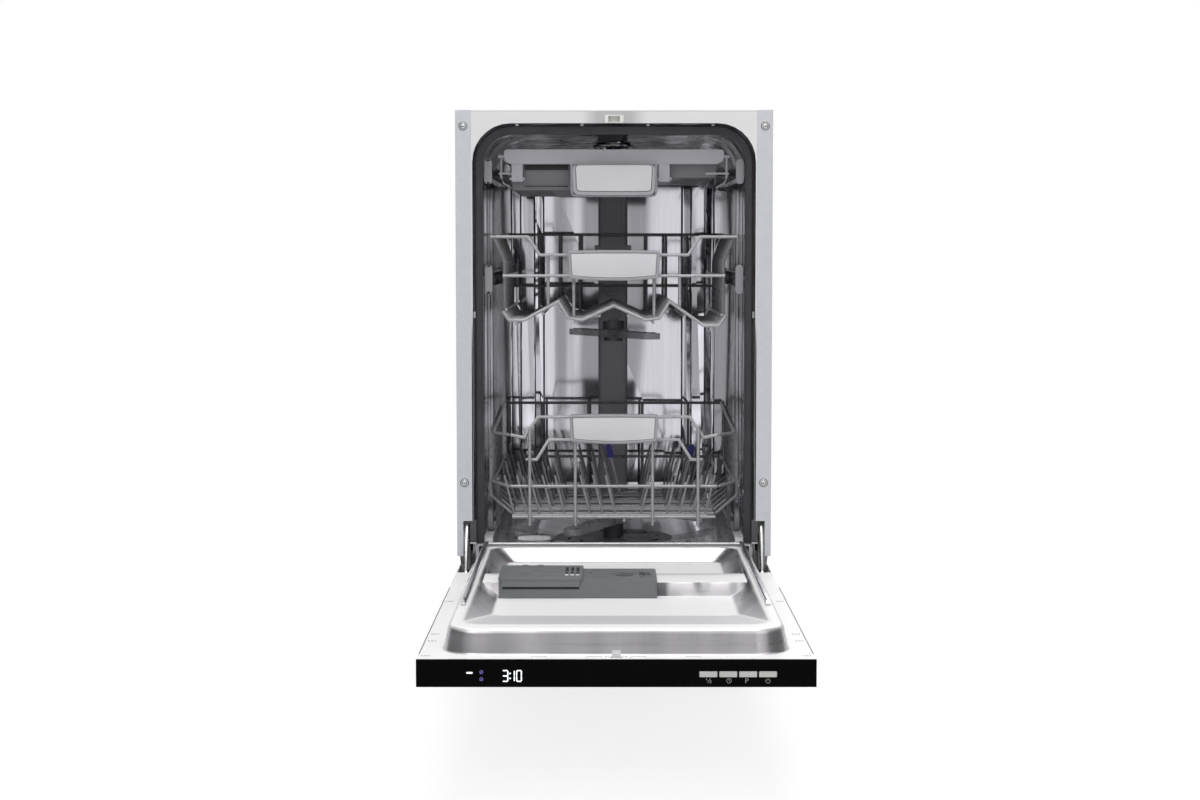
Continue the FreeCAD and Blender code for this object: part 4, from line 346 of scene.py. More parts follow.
tub_steel = tub_sheet("tub_steel", rgb(238, 237, 242), rgb(229, 229, 230))
rear_wall_steel = polished_sheet("rear_wall_steel", rgb(222, 221, 229), 0.07, (0, 0, 1), 0.5)
floor_steel = polished_sheet("floor_steel", rgb(222, 221, 225), 0.16, (0, 1, 0), 0.25, 0.5)
liner_steel = drawn_liner(
    "liner_steel",
    # the level, ramp and streak tones are painted reflections
    level=rgb(253, 253, 253),
    upright=rgb(186, 184, 187),
    ramp=rgb(220, 219, 221),
    painted_streak=rgb(92, 91, 94),
)
rail_steel = polished_sheet("rail_steel", rgb(200, 200, 204), 0.22, (0, 1, 0), 0.02)
hinge_steel = polished_sheet("hinge_steel", rgb(216, 216, 218), 0.3, (0, 1, 0), 0.03)
chrome = polished_sheet("chrome", rgb(228, 228, 230), 0.12, (0, 0, 1), 0.05)
zinc = zinc_sheet("zinc", rgb(206, 208, 214), 0.42)
door_paint = moulded("door_paint", rgb(225, 226, 228), 0.4, 0.012)
wire = coated_wire("wire", WIRE_GREY, *WIRE_PAINTED_SHADE)
seal = rubber("seal", rgb(70, 68, 73))
light_plastic = moulded("light_plastic", LIGHT_GREY, 0.38, 0.03)
grey_plastic = moulded("grey_plastic", MID_GREY, 0.42)
# grey plastic painted lighter to offset the shade the cutlery tray sits in
tray_lightened_plastic = moulded("tray_lightened_plastic", rgb(174, 173, 180), 0.42)
dim_plastic = moulded("dim_plastic", DIM_GREY, 0.45)
dark_plastic = moulded("dark_plastic", DARK_GREY, 0.45)
black_plastic = moulded("black_plastic", rgb(30, 30, 32), 0.5, 0.12)
# near-black painted shade for the hinge brackets in their notches
hinge_shade_black = moulded("hinge_shade_black", rgb(14, 14, 15), 0.5, 0.15)
frame_grey = moulded("frame_grey", rgb(166, 166, 172), 0.4, 0.04)
# dark grey plastic painted lighter to offset the shade deep in the tub
duct_lightened_grey = moulded("duct_lightened_grey", rgb(152, 150, 157), 0.42)
dispenser_plastic = moulded("dispenser_plastic", rgb(112, 115, 118), 0.34)
# white plastic of real parts, also used for painted highlights on handle edges and the dispenser grille
white_plastic_and_highlight = moulded("white_plastic_and_highlight", rgb(232, 231, 228), 0.4, 0.02)
blue_plastic = moulded("blue_plastic", rgb(44, 46, 128), 0.4, 0.08)
grip_blue = grip_plastic("grip_blue", rgb(44, 46, 128), WIRE_GREY, GRIP_FOOT)
silver_plastic = moulded("silver_plastic", rgb(196, 196, 194), 0.3, 0.03, Metallic=0.3)
arm_plastic = smoked("arm_plastic", rgb(132, 131, 137))
low_arm_plastic = smoked("low_arm_plastic", rgb(188, 187, 193))
panel_black = gloss_black("panel_black", rgb(3, 3, 4))
board_green = moulded("board_green", rgb(38, 92, 58), 0.35, 0.1)
display_white = glowing("display_white", rgb(236, 240, 244), 0.9)
display_violet = glowing("display_violet", rgb(120, 112, 190), 0.3)
mark_grey = moulded("mark_grey", rgb(150, 150, 152), 0.5, 0.05)
# dark print, and painted shade in openings and gaps
dark_print_and_shade = moulded("dark_print_and_shade", rgb(24, 24, 26), 0.6, 0.1)
mark_shadow = moulded("mark_shadow", rgb(96, 95, 98), 0.6, 0.08)

NODE_FINISH = {
    tub_steel: "tub_wrap",
    rear_wall_steel: "tub_back_wall",
    floor_steel: "tub_floor",
    liner_steel: "door_inner_liner",
    rail_steel: "door_tracks upper_rails tray_rails",
    hinge_steel: "hinge_arms door_latch",
    zinc: "side_panels top_panel rear_panel",
    door_paint: "door_outer_panel",
    wire: "upper_basket_wires lower_basket_wires fold_rack",
    seal: "door_seals",
    light_plastic: "upper_handle lower_handle tray_handle rack_guides",
    tray_lightened_plastic: "tray_frame",
    grey_plastic: "upper_rail_caps tray_rail_caps wheels_front wheels_rear",
    dim_plastic: "tray_inserts upper_carriers wheel_brackets tine_clips filters",
    dark_plastic: "feed_pipe sump",
    duct_lightened_grey: "water_duct",
    hinge_shade_black: "hinge_brackets",
    black_plastic: "pumps base_tray kick_plate "
    "foot_front_left foot_rear_left foot_front_right foot_rear_right",
    dispenser_plastic: "dispenser_body dispenser_lid rinse_cap",
    white_plastic_and_highlight: "softener hose_connections door_striker",
    chrome: "salt_cap ceiling_sprayer",
    blue_plastic: "adjust_levers",
    grip_blue: "rack_grips",
    silver_plastic: "button_1 button_2 button_3 button_4",
    arm_plastic: "upper_spray_arm",
    low_arm_plastic: "lower_spray_arm",
    panel_black: "control_panel",
    board_green: "control_boards",
}

# Wide sheets shaded face by face, because smoothing draws false creases across them
PRESSED_SHEETS = "side_panels top_panel rear_panel door_outer_panel tub_floor"
# Sheets with screw holes in a wide flat face, whose edges stay sharp
DRILLED_SHEETS = "top_panel door_outer_panel"


def dress_nodes():
    """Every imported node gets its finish, and soft edges unless it is a drilled sheet."""
    rounding = smooth_group()
    for material, names in NODE_FINISH.items():
        for name in names.split():
            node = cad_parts[name]
            node.data.materials.clear()
            node.data.materials.append(material)
            soften(node, None if name in PRESSED_SHEETS.split() else rounding)


def smooth_group():
    """Node group that shades faces smoothly where they meet at a small angle."""
    group = bpy.data.node_groups.new("smooth_by_angle", "GeometryNodeTree")
    group.interface.new_socket("Geometry", in_out="INPUT", socket_type="NodeSocketGeometry")
    group.interface.new_socket("Geometry", in_out="OUTPUT", socket_type="NodeSocketGeometry")
    nodes, links = group.nodes, group.links
    angle = nodes.new("GeometryNodeInputMeshEdgeAngle")
    small = nodes.new("FunctionNodeCompare")
    small.operation = "LESS_THAN"
    small.inputs["B"].default_value = math.radians(SMOOTH_ANGLE)
    links.new(angle.outputs["Unsigned Angle"], small.inputs["A"])
    faces = nodes.new("GeometryNodeSetShadeSmooth")
    faces.domain = "FACE"
    edges = nodes.new("GeometryNodeSetShadeSmooth")
    edges.domain = "EDGE"
    links.new(nodes.new("NodeGroupInput").outputs["Geometry"], faces.inputs["Geometry"])
    links.new(faces.outputs["Geometry"], edges.inputs["Geometry"])
    links.new(small.outputs["Result"], edges.inputs["Shade Smooth"])
    links.new(edges.outputs["Geometry"], nodes.new("NodeGroupOutput").inputs["Geometry"])
    return group


def soften(node, rounding):
    """Seams welded, rounds shaded smooth where asked, and edges broken except on drilled sheets."""
    weld = node.modifiers.new("weld", "WELD")
    weld.merge_threshold = SEAM
    if rounding:
        node.modifiers.new("smooth", "NODES").node_group = rounding
    if node.name in DRILLED_SHEETS.split():
        return
    bevel = node.modifiers.new("bevel", "BEVEL")
    bevel.width = EDGE_WIDTH
    bevel.segments = 2
    bevel.limit_method = "ANGLE"
    bevel.angle_limit = math.radians(EDGE_ANGLE)
    bevel.harden_normals = rounding is not None


def arc(sides):
    """Angles of the corners of a regular outline."""
    return [2 * math.pi * k / sides for k in range(sides)]


class Shape:
    """Mesh under construction, in millimetres from the cabinet's front."""

    most_break = 0.4
    rod_end = (0.5, 0.4)
    screw_rings, screw_sides = 9, 32
    screw_height, cross_depth, cross_half, cross_reach = 0.32, 0.3, 0.14, 0.62

    def __init__(self, name):
        self.name = name
        self.bm = bmesh.new()

    def ring(self, points):
        """Vertices at points."""
        lift = Vector((0, FRONT, 0))
        return [self.bm.verts.new((Vector(p) + lift) * MM) for p in points]

    def bridge(self, rings):
        """Faces between neighbouring closed rings of vertices."""
        for low, high in zip(rings, rings[1:]):
            count = len(low)
            for k in range(count):
                after = (k + 1) % count
                self.bm.faces.new((low[k], low[after], high[after], high[k]))

    def loft(self, outlines, capped=True):
        """Faces from outline to outline, closed at both ends if capped."""
        rings = [self.ring(points) for points in outlines]
        self.bridge(rings)
        if capped:
            self.bm.faces.new(rings[0])
            self.bm.faces.new(rings[-1])

    def plate(self, corners, out, height, chamfer):
        """Flat shape raised along out, its upper edge broken."""
        corners = [Vector(c) for c in corners]
        centre = sum(corners, Vector()) / len(corners)
        top = []
        for c in corners:
            inward = centre - c
            top.append(c + inward * min(self.most_break, chamfer / inward.length) + out * height)
        shoulder = [c + out * max(height - chamfer, height * self.most_break) for c in corners]
        self.loft([corners, shoulder, top])

    def tile(self, x0, x1, y0, y1, z, height, chamfer):
        """Level rectangle raised upwards."""
        self.plate([(x0, y0, z), (x1, y0, z), (x1, y1, z), (x0, y1, z)], UPWARDS, height, chamfer)

    def card(self, x0, x1, z0, z1, y, height, chamfer):
        """Upright rectangle raised towards the front."""
        self.plate([(x0, y, z0), (x1, y, z0), (x1, y, z1), (x0, y, z1)], TOWARDS, height, chamfer)

    def stroke(self, points, width, out, height):
        """Flat ribbon along points on a surface that faces out."""
        path = [Vector(p) for p in points]
        steps = [(b - a).normalized() for a, b in zip(path, path[1:])]
        left, right = [], []
        for i, here in enumerate(path):
            way = steps[max(i - 1, 0)] + steps[min(i, len(steps) - 1)]
            side = way.normalized().cross(out) * width / 2
            left.append(here + side)
            right.append(here - side)
        edge = left + right[::-1]
        low = self.ring(edge)
        high = self.ring([p + out * height for p in edge])
        self.bridge([low, high])
        count = len(path)
        for level in (low, high):
            for i in range(count - 1):
                j = 2 * count - 1 - i
                self.bm.faces.new((level[i], level[i + 1], level[j - 1], level[j]))

    def tube(self, points, radius, sides=12):
        """Round rod along points with domed ends."""
        path = [Vector(p) for p in points]
        end_share, end_push = self.rod_end
        last = len(path) - 1
        rings = []
        for i, here in enumerate(path):
            way = (path[min(i + 1, last)] - path[max(i - 1, 0)]).normalized()
            across = way.orthogonal().normalized()
            up = way.cross(across)
            stations = [(1.0, 0.0)]
            if i == 0:
                stations.insert(0, (end_share, -end_push * radius))
            if i == last:
                stations.append((end_share, end_push * radius))
            for share, push in stations:
                centre = here + way * push
                reach = radius * share
                rings.append([centre + (across * math.cos(t) + up * math.sin(t)) * reach for t in arc(sides)])
        self.loft(rings)

    def dome(self, centre, out, profile, sides=20):
        """Turned form on a surface; the profile lists radius and height above it."""
        across = out.orthogonal().normalized()
        up = out.cross(across)
        centre = Vector(centre)
        rings = []
        for radius, height in profile:
            spokes = [across * math.cos(t) + up * math.sin(t) for t in arc(sides)]
            rings.append([centre + spoke * radius + out * height for spoke in spokes])
        self.loft(rings)

    def screw(self, centre, out, radius):
        """Domed screw head with a pressed cross; out is the way it faces."""
        side = out.orthogonal().normalized()
        up = out.cross(side)
        rings = []
        for i in range(1, self.screw_rings + 1):
            reach = radius * i / self.screw_rings
            ring = []
            for t in arc(self.screw_sides):
                u, v = reach * math.cos(t), reach * math.sin(t)
                rise = self.screw_height * radius * (1 - (reach / radius) ** 3)
                if reach < self.cross_reach * radius and min(abs(u), abs(v)) < self.cross_half * radius:
                    rise -= self.cross_depth * radius
                ring.append(Vector(centre) + side * u + up * v + out * rise)
            rings.append(ring)
        self.loft(rings)

    def put(self, material, body, slot, *replaced):
        """The finished mesh as a piece of the looks that rides on a body."""
        bmesh.ops.recalc_face_normals(self.bm, faces=self.bm.faces)
        mesh = bpy.data.meshes.new(self.name)
        self.bm.to_mesh(mesh)
        self.bm.free()
        mesh.materials.append(material)
        thing = bpy.data.objects.new(self.name, mesh)
        bpy.context.scene.collection.objects.link(thing)
        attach(thing, body)
        if replaced:
            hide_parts(*replaced)
        return thing


def circle(x, z, y, radius, start=0.0, end=360.0, steps=24):
    """Points of an arc on an upright face."""
    points = []
    for i in range(steps + 1):
        turn = math.radians(start + (end - start) * i / steps)
        points.append((x + radius * math.cos(turn), y, z + radius * math.sin(turn)))
    return points


PANEL_FACE = extent("control_panel")[0].y
SEGMENTS = {"3": "abcdg", "1": "bc", "0": "abcdef"}
DIGITS = (("3", -126.5, -119.4), ("1", -116.6, -112.2), ("0", -111.0, -104.4))
DIGIT_Z = (141.0, 154.4)
DIGIT_LINE = 1.4


def bar(shape, a, b, width):
    """Display segment between two points on the panel face, pointed at both ends."""
    a, b = [Vector((x, PANEL_FACE, z)) for x, z in (a, b)]
    way = (b - a).normalized()
    side = way.cross(TOWARDS) * width / 2
    tip = way * width / 2
    corners = [a, a + tip + side, b - tip + side, b, b - tip - side, a + tip - side]
    shape.plate(corners, TOWARDS, PRINT, PRINT_BREAK)


def digit(shape, value, x0, x1):
    """Seven-segment digit between two places on the strip."""
    gap = DIGIT_LINE / 2
    low, high = DIGIT_Z[0] + gap, DIGIT_Z[1] - gap
    mid = (low + high) / 2
    left, right = x0 + gap, x1 - gap
    ends = {
        "a": ((left, high), (right, high)),
        "b": ((right, high), (right, mid)),
        "c": ((right, mid), (right, low)),
        "d": ((left, low), (right, low)),
        "e": ((left, mid), (left, low)),
        "f": ((left, high), (left, mid)),
        "g": ((left, mid), (right, mid)),
    }
    for name in SEGMENTS[value]:
        bar(shape, *ends[name], DIGIT_LINE)


def sign_line(shape, x, z, points, width):
    """Line printed on the strip, its points counted from a place."""
    shape.stroke([(x + u, PANEL_FACE, z + v) for u, v in points], width, TOWARDS, PRINT)


def sign_ring(shape, x, z, radius, width, *span):
    """Ring or arc printed on the strip."""
    shape.stroke(circle(x, z, PANEL_FACE, radius, *span), width, TOWARDS, PRINT)


def display():
    """Lit remaining time, two status signs and a dash on the dark strip."""
    time = Shape("display_time")
    for value, x0, x1 in DIGITS:
        digit(time, value, x0, x1)
    colon_x, dot = -117.6, [(0.9, 0), (0.9, PRINT / 2), (0.7, PRINT)]
    for z in (145, 150.5):
        time.dome((colon_x, PANEL_FACE, z), TOWARDS, dot)
    bar(time, (-166.4, 151.2), (-158.8, 151.2), width=2.0)
    time.put(display_white, "door", "silver_plastic")
    signs = Shape("display_signs")
    x, radius, line = -149.5, 1.8, 0.55
    for z in (152, 144):
        sign_ring(signs, x, z, radius, line)
        sign_line(signs, x, z, ((-1.5, -0.9), (1.5, 0.9)), line)
    signs.put(display_violet, "door", "blue_plastic")


def button_signs():
    """Plain signs under the buttons: half load, delay clock, programme and power."""
    signs = Shape("button_signs")
    half, delay, programme, power = 102.6, 124.8, 144.7, 168
    z, line, stem, bowl = 142.4, 0.6, 0.9, 0.8
    sign_line(signs, half, z, ((-3.2, 1.6), (-2.3, 2.6), (-2.3, 0)), line)
    sign_line(signs, half, z, ((-1.5, -2.6), (1.5, 2.6)), line)
    sign_line(signs, half, z, ((1, -0.2), (2, 0.3), (2.6, -0.6), (1, -2.5), (2.8, -2.5)), line)
    clock, ring, drop = 2.6, 2.4, 0.3
    sign_ring(signs, delay, z, clock, line)
    sign_line(signs, delay, z, ((0, 1.8), (0, 0), (1.4, -0.7)), line)
    sign_line(signs, programme, z, ((-1.4, -2.7), (-1.4, 2.6)), stem)
    sign_line(signs, programme, z, ((-1.4, 2.3), (0.7, 2.3), (1.6, 1.3), (0.7, 0.2), (-1.4, 0.2)), bowl)
    sign_ring(signs, power, z - drop, ring, line, 120, 420)
    sign_line(signs, power, z, ((0, 0), (0, 2.8)), line)
    signs.put(mark_grey, "door", "light_plastic")


SCREW_SINK = 0.4


def flange_screws():
    """Cross-head screws in the side flanges of the cabinet, each in a pressed ring drawn with painted shade
    rings and a painted shade dot.
    """
    screws = Shape("flange_screws")
    rings = Shape("flange_screw_rings")
    edge, radius, sides = 213, 3.1, Shape.screw_sides
    seat = [(5.0, 0), (5.0, 0.3), (4.7, 0.5), (3.0, 0.5)]
    pin_y, pin = -0.6, [(1.0, 0), (1.0, 0.75), (0.8, 0.8)]
    for x in (-edge, edge):
        for z in (287, 792):
            screws.dome((x, 0, z), TOWARDS, seat, sides)
            screws.screw((x, -SCREW_SINK, z), TOWARDS, radius)
            # painted shade: dark rings around each screw and a dark dot before its centre
            for reach, y, width, height in ((5.6, -0.02, 1.3, 0.2), (3.5, -0.45, 0.8, 0.15)):
                rings.stroke(circle(x, z, y, reach, steps=sides), width, TOWARDS, height)
            rings.dome((x, pin_y, z), TOWARDS, pin)
    screws.put(hinge_steel, "cabinet", "hinge_steel")
    rings.put(mark_shadow, "cabinet", "hinge_steel")


def body_screws():
    """Screws that hold the rear sheet and the side panels to the frame."""
    rear = extent("rear_panel")[1]
    inset, drop, radius = 12, 9, 3.6
    places = [(side * (rear.x - inset), z) for side in (-1, 1) for z in (170, 330, 490, 650, 795)]
    places += [(x, rear.z - drop) for x in (-130, 0, 130)]
    screws = Shape("rear_screws")
    for x, z in places:
        screws.screw((x, rear.y - SCREW_SINK, z), BACKWARDS, radius)
    screws.put(hinge_steel, "cabinet", "hinge_steel")
    sides = Shape("side_screws")
    face, radius = extent("side_panels")[1].x - SCREW_SINK, 3.0
    for side in (-1, 1):
        for y, z in ((150, 60), (350, 60), (520, 60), (520, 780), (40, 780)):
            sides.screw((side * face, y, z), Vector((side, 0, 0)), radius)
    sides.put(hinge_steel, "cabinet", "hinge_steel")


def striker_pocket():
    """Pale cup behind the mouth of the door striker."""
    low, high = extent("door_striker")
    front, deep, wall = high.y + 0.6, high.y + 5.8, 0.8
    side, edge = 2.5, 0.7

    def rim(inset, y):
        x0, x1 = low.x + side + inset, high.x - side - inset
        z0, z1 = low.z + edge + inset, high.z - edge - inset
        return [(x0, y, z0), (x1, y, z0), (x1, y, z1), (x0, y, z1)]

    pocket = Shape("striker_pocket")
    pocket.loft([rim(wall, deep), rim(wall, front), rim(0, front), rim(0, deep + wall)])
    pocket.put(white_plastic_and_highlight, "cabinet", "light_plastic")


def hinge_shade_covers():
    """Dark cover plates beside the hinge slots as painted shade in the notches, each with a pale lip at its
    foot.
    """
    covers = Shape("hinge_shade_covers")
    lips = Shape("hinge_cover_lips")
    near, far = 196.5, 205.5
    for side in (-1, 1):
        x0, x1 = sorted((side * near, side * far))
        # painted shade: dark plates filling the notch beside each hinge slot
        covers.card(x0, x1, 202, 234, y=1.0, height=0.8, chamfer=0.3)
        lips.card(x0, x1, 199.6, 201.4, y=1.0, height=0.9, chamfer=0.3)
    covers.put(dark_plastic, "cabinet", "dark_plastic")
    lips.put(light_plastic, "cabinet", "light_plastic")


def gasket_clips():
    """Pale retaining clips along the outer edge of the door seal."""
    sink, half, near, far = 0.6, 2.2, 198.2, 199.8
    y = extent("door_seals")[0].y + sink
    clips = Shape("gasket_clips")
    for x in (-137.9, -45.5, 48.3, 140.7):
        clips.card(x - half, x + half, 794, 795.8, y, height=1.6, chamfer=0.5)
    for side in (-1, 1):
        x0, x1 = sorted((side * near, side * far))
        clips.card(x0, x1, 521, 530, y, height=1.6, chamfer=0.5)
    clips.put(light_plastic, "cabinet", "light_plastic")


# Rack handles: corner radius and bow of each outline
BASKET_OUTLINE, TRAY_OUTLINE = (3.2, 3.4), (5.0, 0.6)
RIM_OUTER, RIM_INNER = (9.0, 0.4), (5.4, 0.6)
CORNER_STEPS, CORNER_SHRINK, CORNER_LEAST = 6, 0.5, 0.6
HANDLE_LEAN, BOW_ABOVE = 0.03, 0.25
SIDE_SHARES = (-0.75, -0.5, -0.25, 0.0, 0.25, 0.5, 0.75)
# Their rings: how far the outline is set in, and how far behind the front or the rear plane it lies
FRAME_REAR = ((0.5, 0), (0.0, -0.7))
FRAME_FRONT = ((0.0, 1.4), (0.4, 0.4), (1.1, 0), (3.3, 0), (3.9, 0.5), (4.0, 2.2))
PLATE_FRONT = ((4.7, 2.4), (4.7, 1.1), (4.9, 0.7), (5.5, 0.45))
TRAY_REAR, TRAY_FRONT = ((0.4, 0), (0.0, -0.6)), ((0.0, 1.0), (0.25, 0.3), (1.0, 0))
RIM_OUTSIDE, RIM_INSIDE = ((0.4, 2.0), (1.0, 1.2)), ((-0.6, 1.2), (0, 1.8))
# Painted highlights along the plate edges: ring set-in and depth for basket and tray, and the bead's section
BASKET_HIGHLIGHT, TRAY_HIGHLIGHT = (4.8, 0.6), (0.1, 0.2)
HIGHLIGHT_SECTION = ((0.0, 0.3), (0.1, -0.1), (0.35, -0.3), (0.75, -0.3), (1.0, -0.1), (1.1, 0.3))
# Room for the tray's rim at the sides and foot, and at the top, its gap around the plate and its lap
TRAY_RIM, TRAY_TOP_RIM, TRAY_GAP, TRAY_LAP = 3.9, 1, 0.5, 2.4


def handle_outline(box, inset, y, corner, bow):
    """Outline of a rack handle, set in by a width: nearly straight above, bowed below, with small corners."""
    low, high = box
    half, base, top = high.x - inset, low.z + inset, high.z - inset
    corner = max(corner - inset * CORNER_SHRINK, CORNER_LEAST)
    points = []
    for side_x, side_z, start in ((-1, -1, 180), (1, -1, 270), (1, 1, 0), (-1, 1, 90)):
        centre_z = base + corner if side_z < 0 else top - corner
        for step in range(CORNER_STEPS + 1):
            turn = math.radians(start + 90 * step / CORNER_STEPS)
            x = side_x * (half - corner) + corner * math.cos(turn)
            points.append((x, centre_z + corner * math.sin(turn)))
        if start in (180, 0):
            points += [(half * share * -side_x, base if side_z < 0 else top) for share in SIDE_SHARES]
    middle = (base + top) / 2
    shaped = []
    for x, z in points:
        curve = (x / half) ** 2
        lean = 1 - HANDLE_LEAN * (top - z) / (top - base)
        shaped.append((x * lean, y, z + bow * curve if z < middle else z - BOW_ABOVE * bow * curve))
    return shaped


def handle_rings(box, outline, front, rear=()):
    """Outlines of a rack handle at its rings, those at the rear first."""
    rings = [(inset, box[1].y + depth) for inset, depth in rear]
    rings += [(inset, box[0].y + depth) for inset, depth in front]
    return [handle_outline(box, inset, y, *outline) for inset, y in rings]


def rack_handle(node, body):
    """Handle of a basket: grey frame with a pale plate sunk into it."""
    box = extent(node)
    surround = Shape(node + "_frame")
    surround.loft(handle_rings(box, BASKET_OUTLINE, FRAME_FRONT, FRAME_REAR))
    smooth(surround.put(frame_grey, body, "grey_plastic", node))
    plate = Shape(node + "_plate")
    plate.loft(handle_rings(box, BASKET_OUTLINE, PLATE_FRONT))
    smooth(plate.put(light_plastic, body, "light_plastic"))
    painted_edge_highlight(node + "_painted_highlight", body, box, BASKET_OUTLINE, *BASKET_HIGHLIGHT)


def tray_plate(node, body):
    """Pale plate of the cutlery tray's handle in a raised rim, with a shadow gap around it."""
    low, high = extent(node)
    box = (low + Vector((TRAY_RIM, 0, TRAY_RIM)), high - Vector((TRAY_RIM, 0, TRAY_TOP_RIM)))
    plate = Shape(node + "_plate")
    plate.loft(handle_rings(box, TRAY_OUTLINE, TRAY_FRONT, TRAY_REAR))
    smooth(plate.put(light_plastic, body, "light_plastic", node))
    painted_edge_highlight(node + "_painted_highlight", body, box, TRAY_OUTLINE, *TRAY_HIGHLIGHT)
    gap = Vector((TRAY_GAP, 0, TRAY_GAP))
    inner = (box[0] - gap, box[1] + gap)
    outer = (low - Vector((TRAY_LAP, 0, TRAY_LAP)), high + Vector((TRAY_LAP, 0, TRAY_GAP)))
    foot = (0, extent("tray_frame")[0].y - low.y)
    outside = handle_rings(outer, RIM_OUTER, (foot, *RIM_OUTSIDE))
    inside = handle_rings(inner, RIM_INNER, (*RIM_INSIDE, foot))
    rim = Shape(node + "_rim")
    rim.loft(outside + inside, capped=False)
    smooth(rim.put(tray_lightened_plastic, body, "grey_plastic"))


def painted_edge_highlight(name, body, box, outline, inset, depth):
    """Thin white bead along the edge of a handle plate: a painted highlight."""
    bead = Shape(name)
    section = [(inset + u, depth + v) for u, v in HIGHLIGHT_SECTION]
    bead.loft(handle_rings(box, outline, section), capped=False)
    smooth(bead.put(white_plastic_and_highlight, body, "light_plastic"))


def smooth(thing):
    """Smooth shading between faces that meet at a small angle."""
    for face in thing.data.polygons:
        face.use_smooth = True
    split = thing.modifiers.new("edges", "EDGE_SPLIT")
    split.split_angle = math.radians(SMOOTH_ANGLE)


def door_marks():
    """Pressed tabs and outlines on the flat border of the door, and the latch mouth, drawn as painted shade
    lines.
    """
    marks = Shape("door_marks")
    lift, hook_x, tab_y, border_x = 0.02, 213, -657, 221.2
    level = extent("control_panel")[1].z + lift

    def draw(points, x=0, y=0, width=0.9, height=0.12):
        marks.stroke([(x + u, y + v, level) for u, v in points], width, UPWARDS, height)

    for side in (-1, 1):
        for y in (-290, -518, -560, -648):
            draw(((-4, 3), (-4, -2), (4, -2), (4, 3)), side * hook_x, y)
            draw(((-1.6, 1.2), (1.6, 1.2)), side * hook_x, y)
        for x in (86, 25):
            draw(((-9, 0), (-6.5, 3.5), (6.5, 3.5), (9, 0)), side * x, tab_y)
    for x in (-border_x, border_x):
        draw(((0, -639), (0, -400), (0, -180)), x, width=1.2)
    mouth = ((-11, -654), (-11, -648), (-6, -645.5), (6, -645.5), (11, -648), (11, -654))
    slot = ((-8.5, -652), (-8.5, -649.5), (8.5, -649.5), (8.5, -652))
    draw(mouth, width=1.2, height=0.15)
    draw(slot, width=0.8, height=0.15)
    marks.put(mark_shadow, "door", "hinge_steel")


def dispenser_marks():
    """Dark grille openings and gap under the lid's skirt as painted shade, painted glints, ribs, level window
    and arrow on the dispenser.
    """
    low, high = extent("dispenser_body")
    lid = extent("dispenser_lid")[1]
    holes = Shape("dispenser_grille")
    glints = Shape("dispenser_grille_glints")
    half, hole_sink, glint_sink = 2.1, 1.45, 0.2
    for x in (-62, -55, -48):
        x0, x1 = x - half, x + half
        for y0, y1 in ((-258, -232), (-287, -272)):
            # painted shade: dark tiles in the grille openings
            holes.tile(x0, x1, y0, y1, lid.z - hole_sink, height=1.5, chamfer=0.05)
        # painted highlights: pale tiles on the front row
        glints.tile(x0, x1, -299, -288, lid.z - glint_sink, height=0.25, chamfer=0.05)
    holes.put(dark_print_and_shade, "dispenser_lid", "dark_plastic")
    glints.put(white_plastic_and_highlight, "dispenser_lid", "light_plastic")
    gap = Shape("dispenser_gap")
    gap_sink = 0.02
    # painted shade: dark card in the gap under the lid's skirt
    gap.card(-144, -46, 185.6, 188.9, low.y + gap_sink, height=0.12, chamfer=0.03)
    gap.put(dark_print_and_shade, "door", "dark_plastic")
    ribs = Shape("lid_ribs")
    half, rib_sink, y0, y1 = 4, 0.1, lid.y - 4, lid.y - 1.5
    for x in (-118, -98):
        ribs.tile(x - half, x + half, y0, y1, lid.z - rib_sink, height=1.0, chamfer=0.4)
    ribs.put(dispenser_plastic, "dispenser_lid", "grey_plastic")
    signs = Shape("dispenser_signs")
    window = [(2.6, 0), (2.6, 0.1), (2.1, 0.18)]
    signs.dome((-31, -252, high.z), UPWARDS, window, sides=24)
    arrow = ((34, -284), (37.5, -275), (38.8, -264), (37.5, -253), (34, -244))
    tip = ((31, -246), (34, -243), (38, -245))
    for points in (arrow, tip):
        signs.stroke([(x, y, high.z) for x, y in points], width=1.0, out=UPWARDS, height=0.12)
    signs.put(dark_print_and_shade, "door", "dark_plastic")


def arm_jets(name, body, centre, height, reach, turn):
    """Spray nozzles along both halves of a spray arm."""
    jets = Shape(name)
    turn = math.radians(turn)
    count, start, end, offset = 6, 38, 16, 7
    jet = [(3.6, -0.2), (3.4, 0.6), (2.6, 1.3), (1.3, 1.3), (1.2, 0.2)]
    for i in range(count):
        along = start + (reach - start - end) * i / (count - 1)
        for side in (-1, 1):
            u, v = side * along, side * (offset if i % 2 else -offset)
            x = u * math.cos(turn) - v * math.sin(turn)
            y = centre + u * math.sin(turn) + v * math.cos(turn)
            jets.dome((x, y, height), UPWARDS, jet, sides=16)
    jets.put(dim_plastic, body, "dark_plastic")


def sprayer_jets():
    """Ring of nozzles under the ceiling spray head, its hub and its collar."""
    low, high = extent("ceiling_sprayer")
    y = (low.y + high.y) / 2
    count, reach, jet_z, hub_z = 10, 25, low.z + 2.6, low.z + 0.2
    jet = [(2.6, 0), (2.4, 1.2), (1.4, 1.6)]
    hub = [(15, 0), (14, 1.4), (9, 2.2), (3, 2.4)]
    bead = [(22, 0.2), (25.5, 0.6), (27.5, 2.0), (27.2, 3.4), (25.6, 4.8), (22.6, 5.8), (21, 6)]
    jets = Shape("sprayer_jets")
    for t in arc(count):
        place = (reach * math.cos(t), y + reach * math.sin(t), jet_z)
        jets.dome(place, DOWNWARDS, jet, sides=12)
    jets.dome((0, y, hub_z), DOWNWARDS, hub, sides=32)
    jets.put(dark_plastic, "cabinet", "dark_plastic")
    collar = Shape("sprayer_collar")
    collar.dome((0, y, high.z), DOWNWARDS, bead, sides=48)
    smooth(collar.put(chrome, "cabinet", "hinge_steel"))


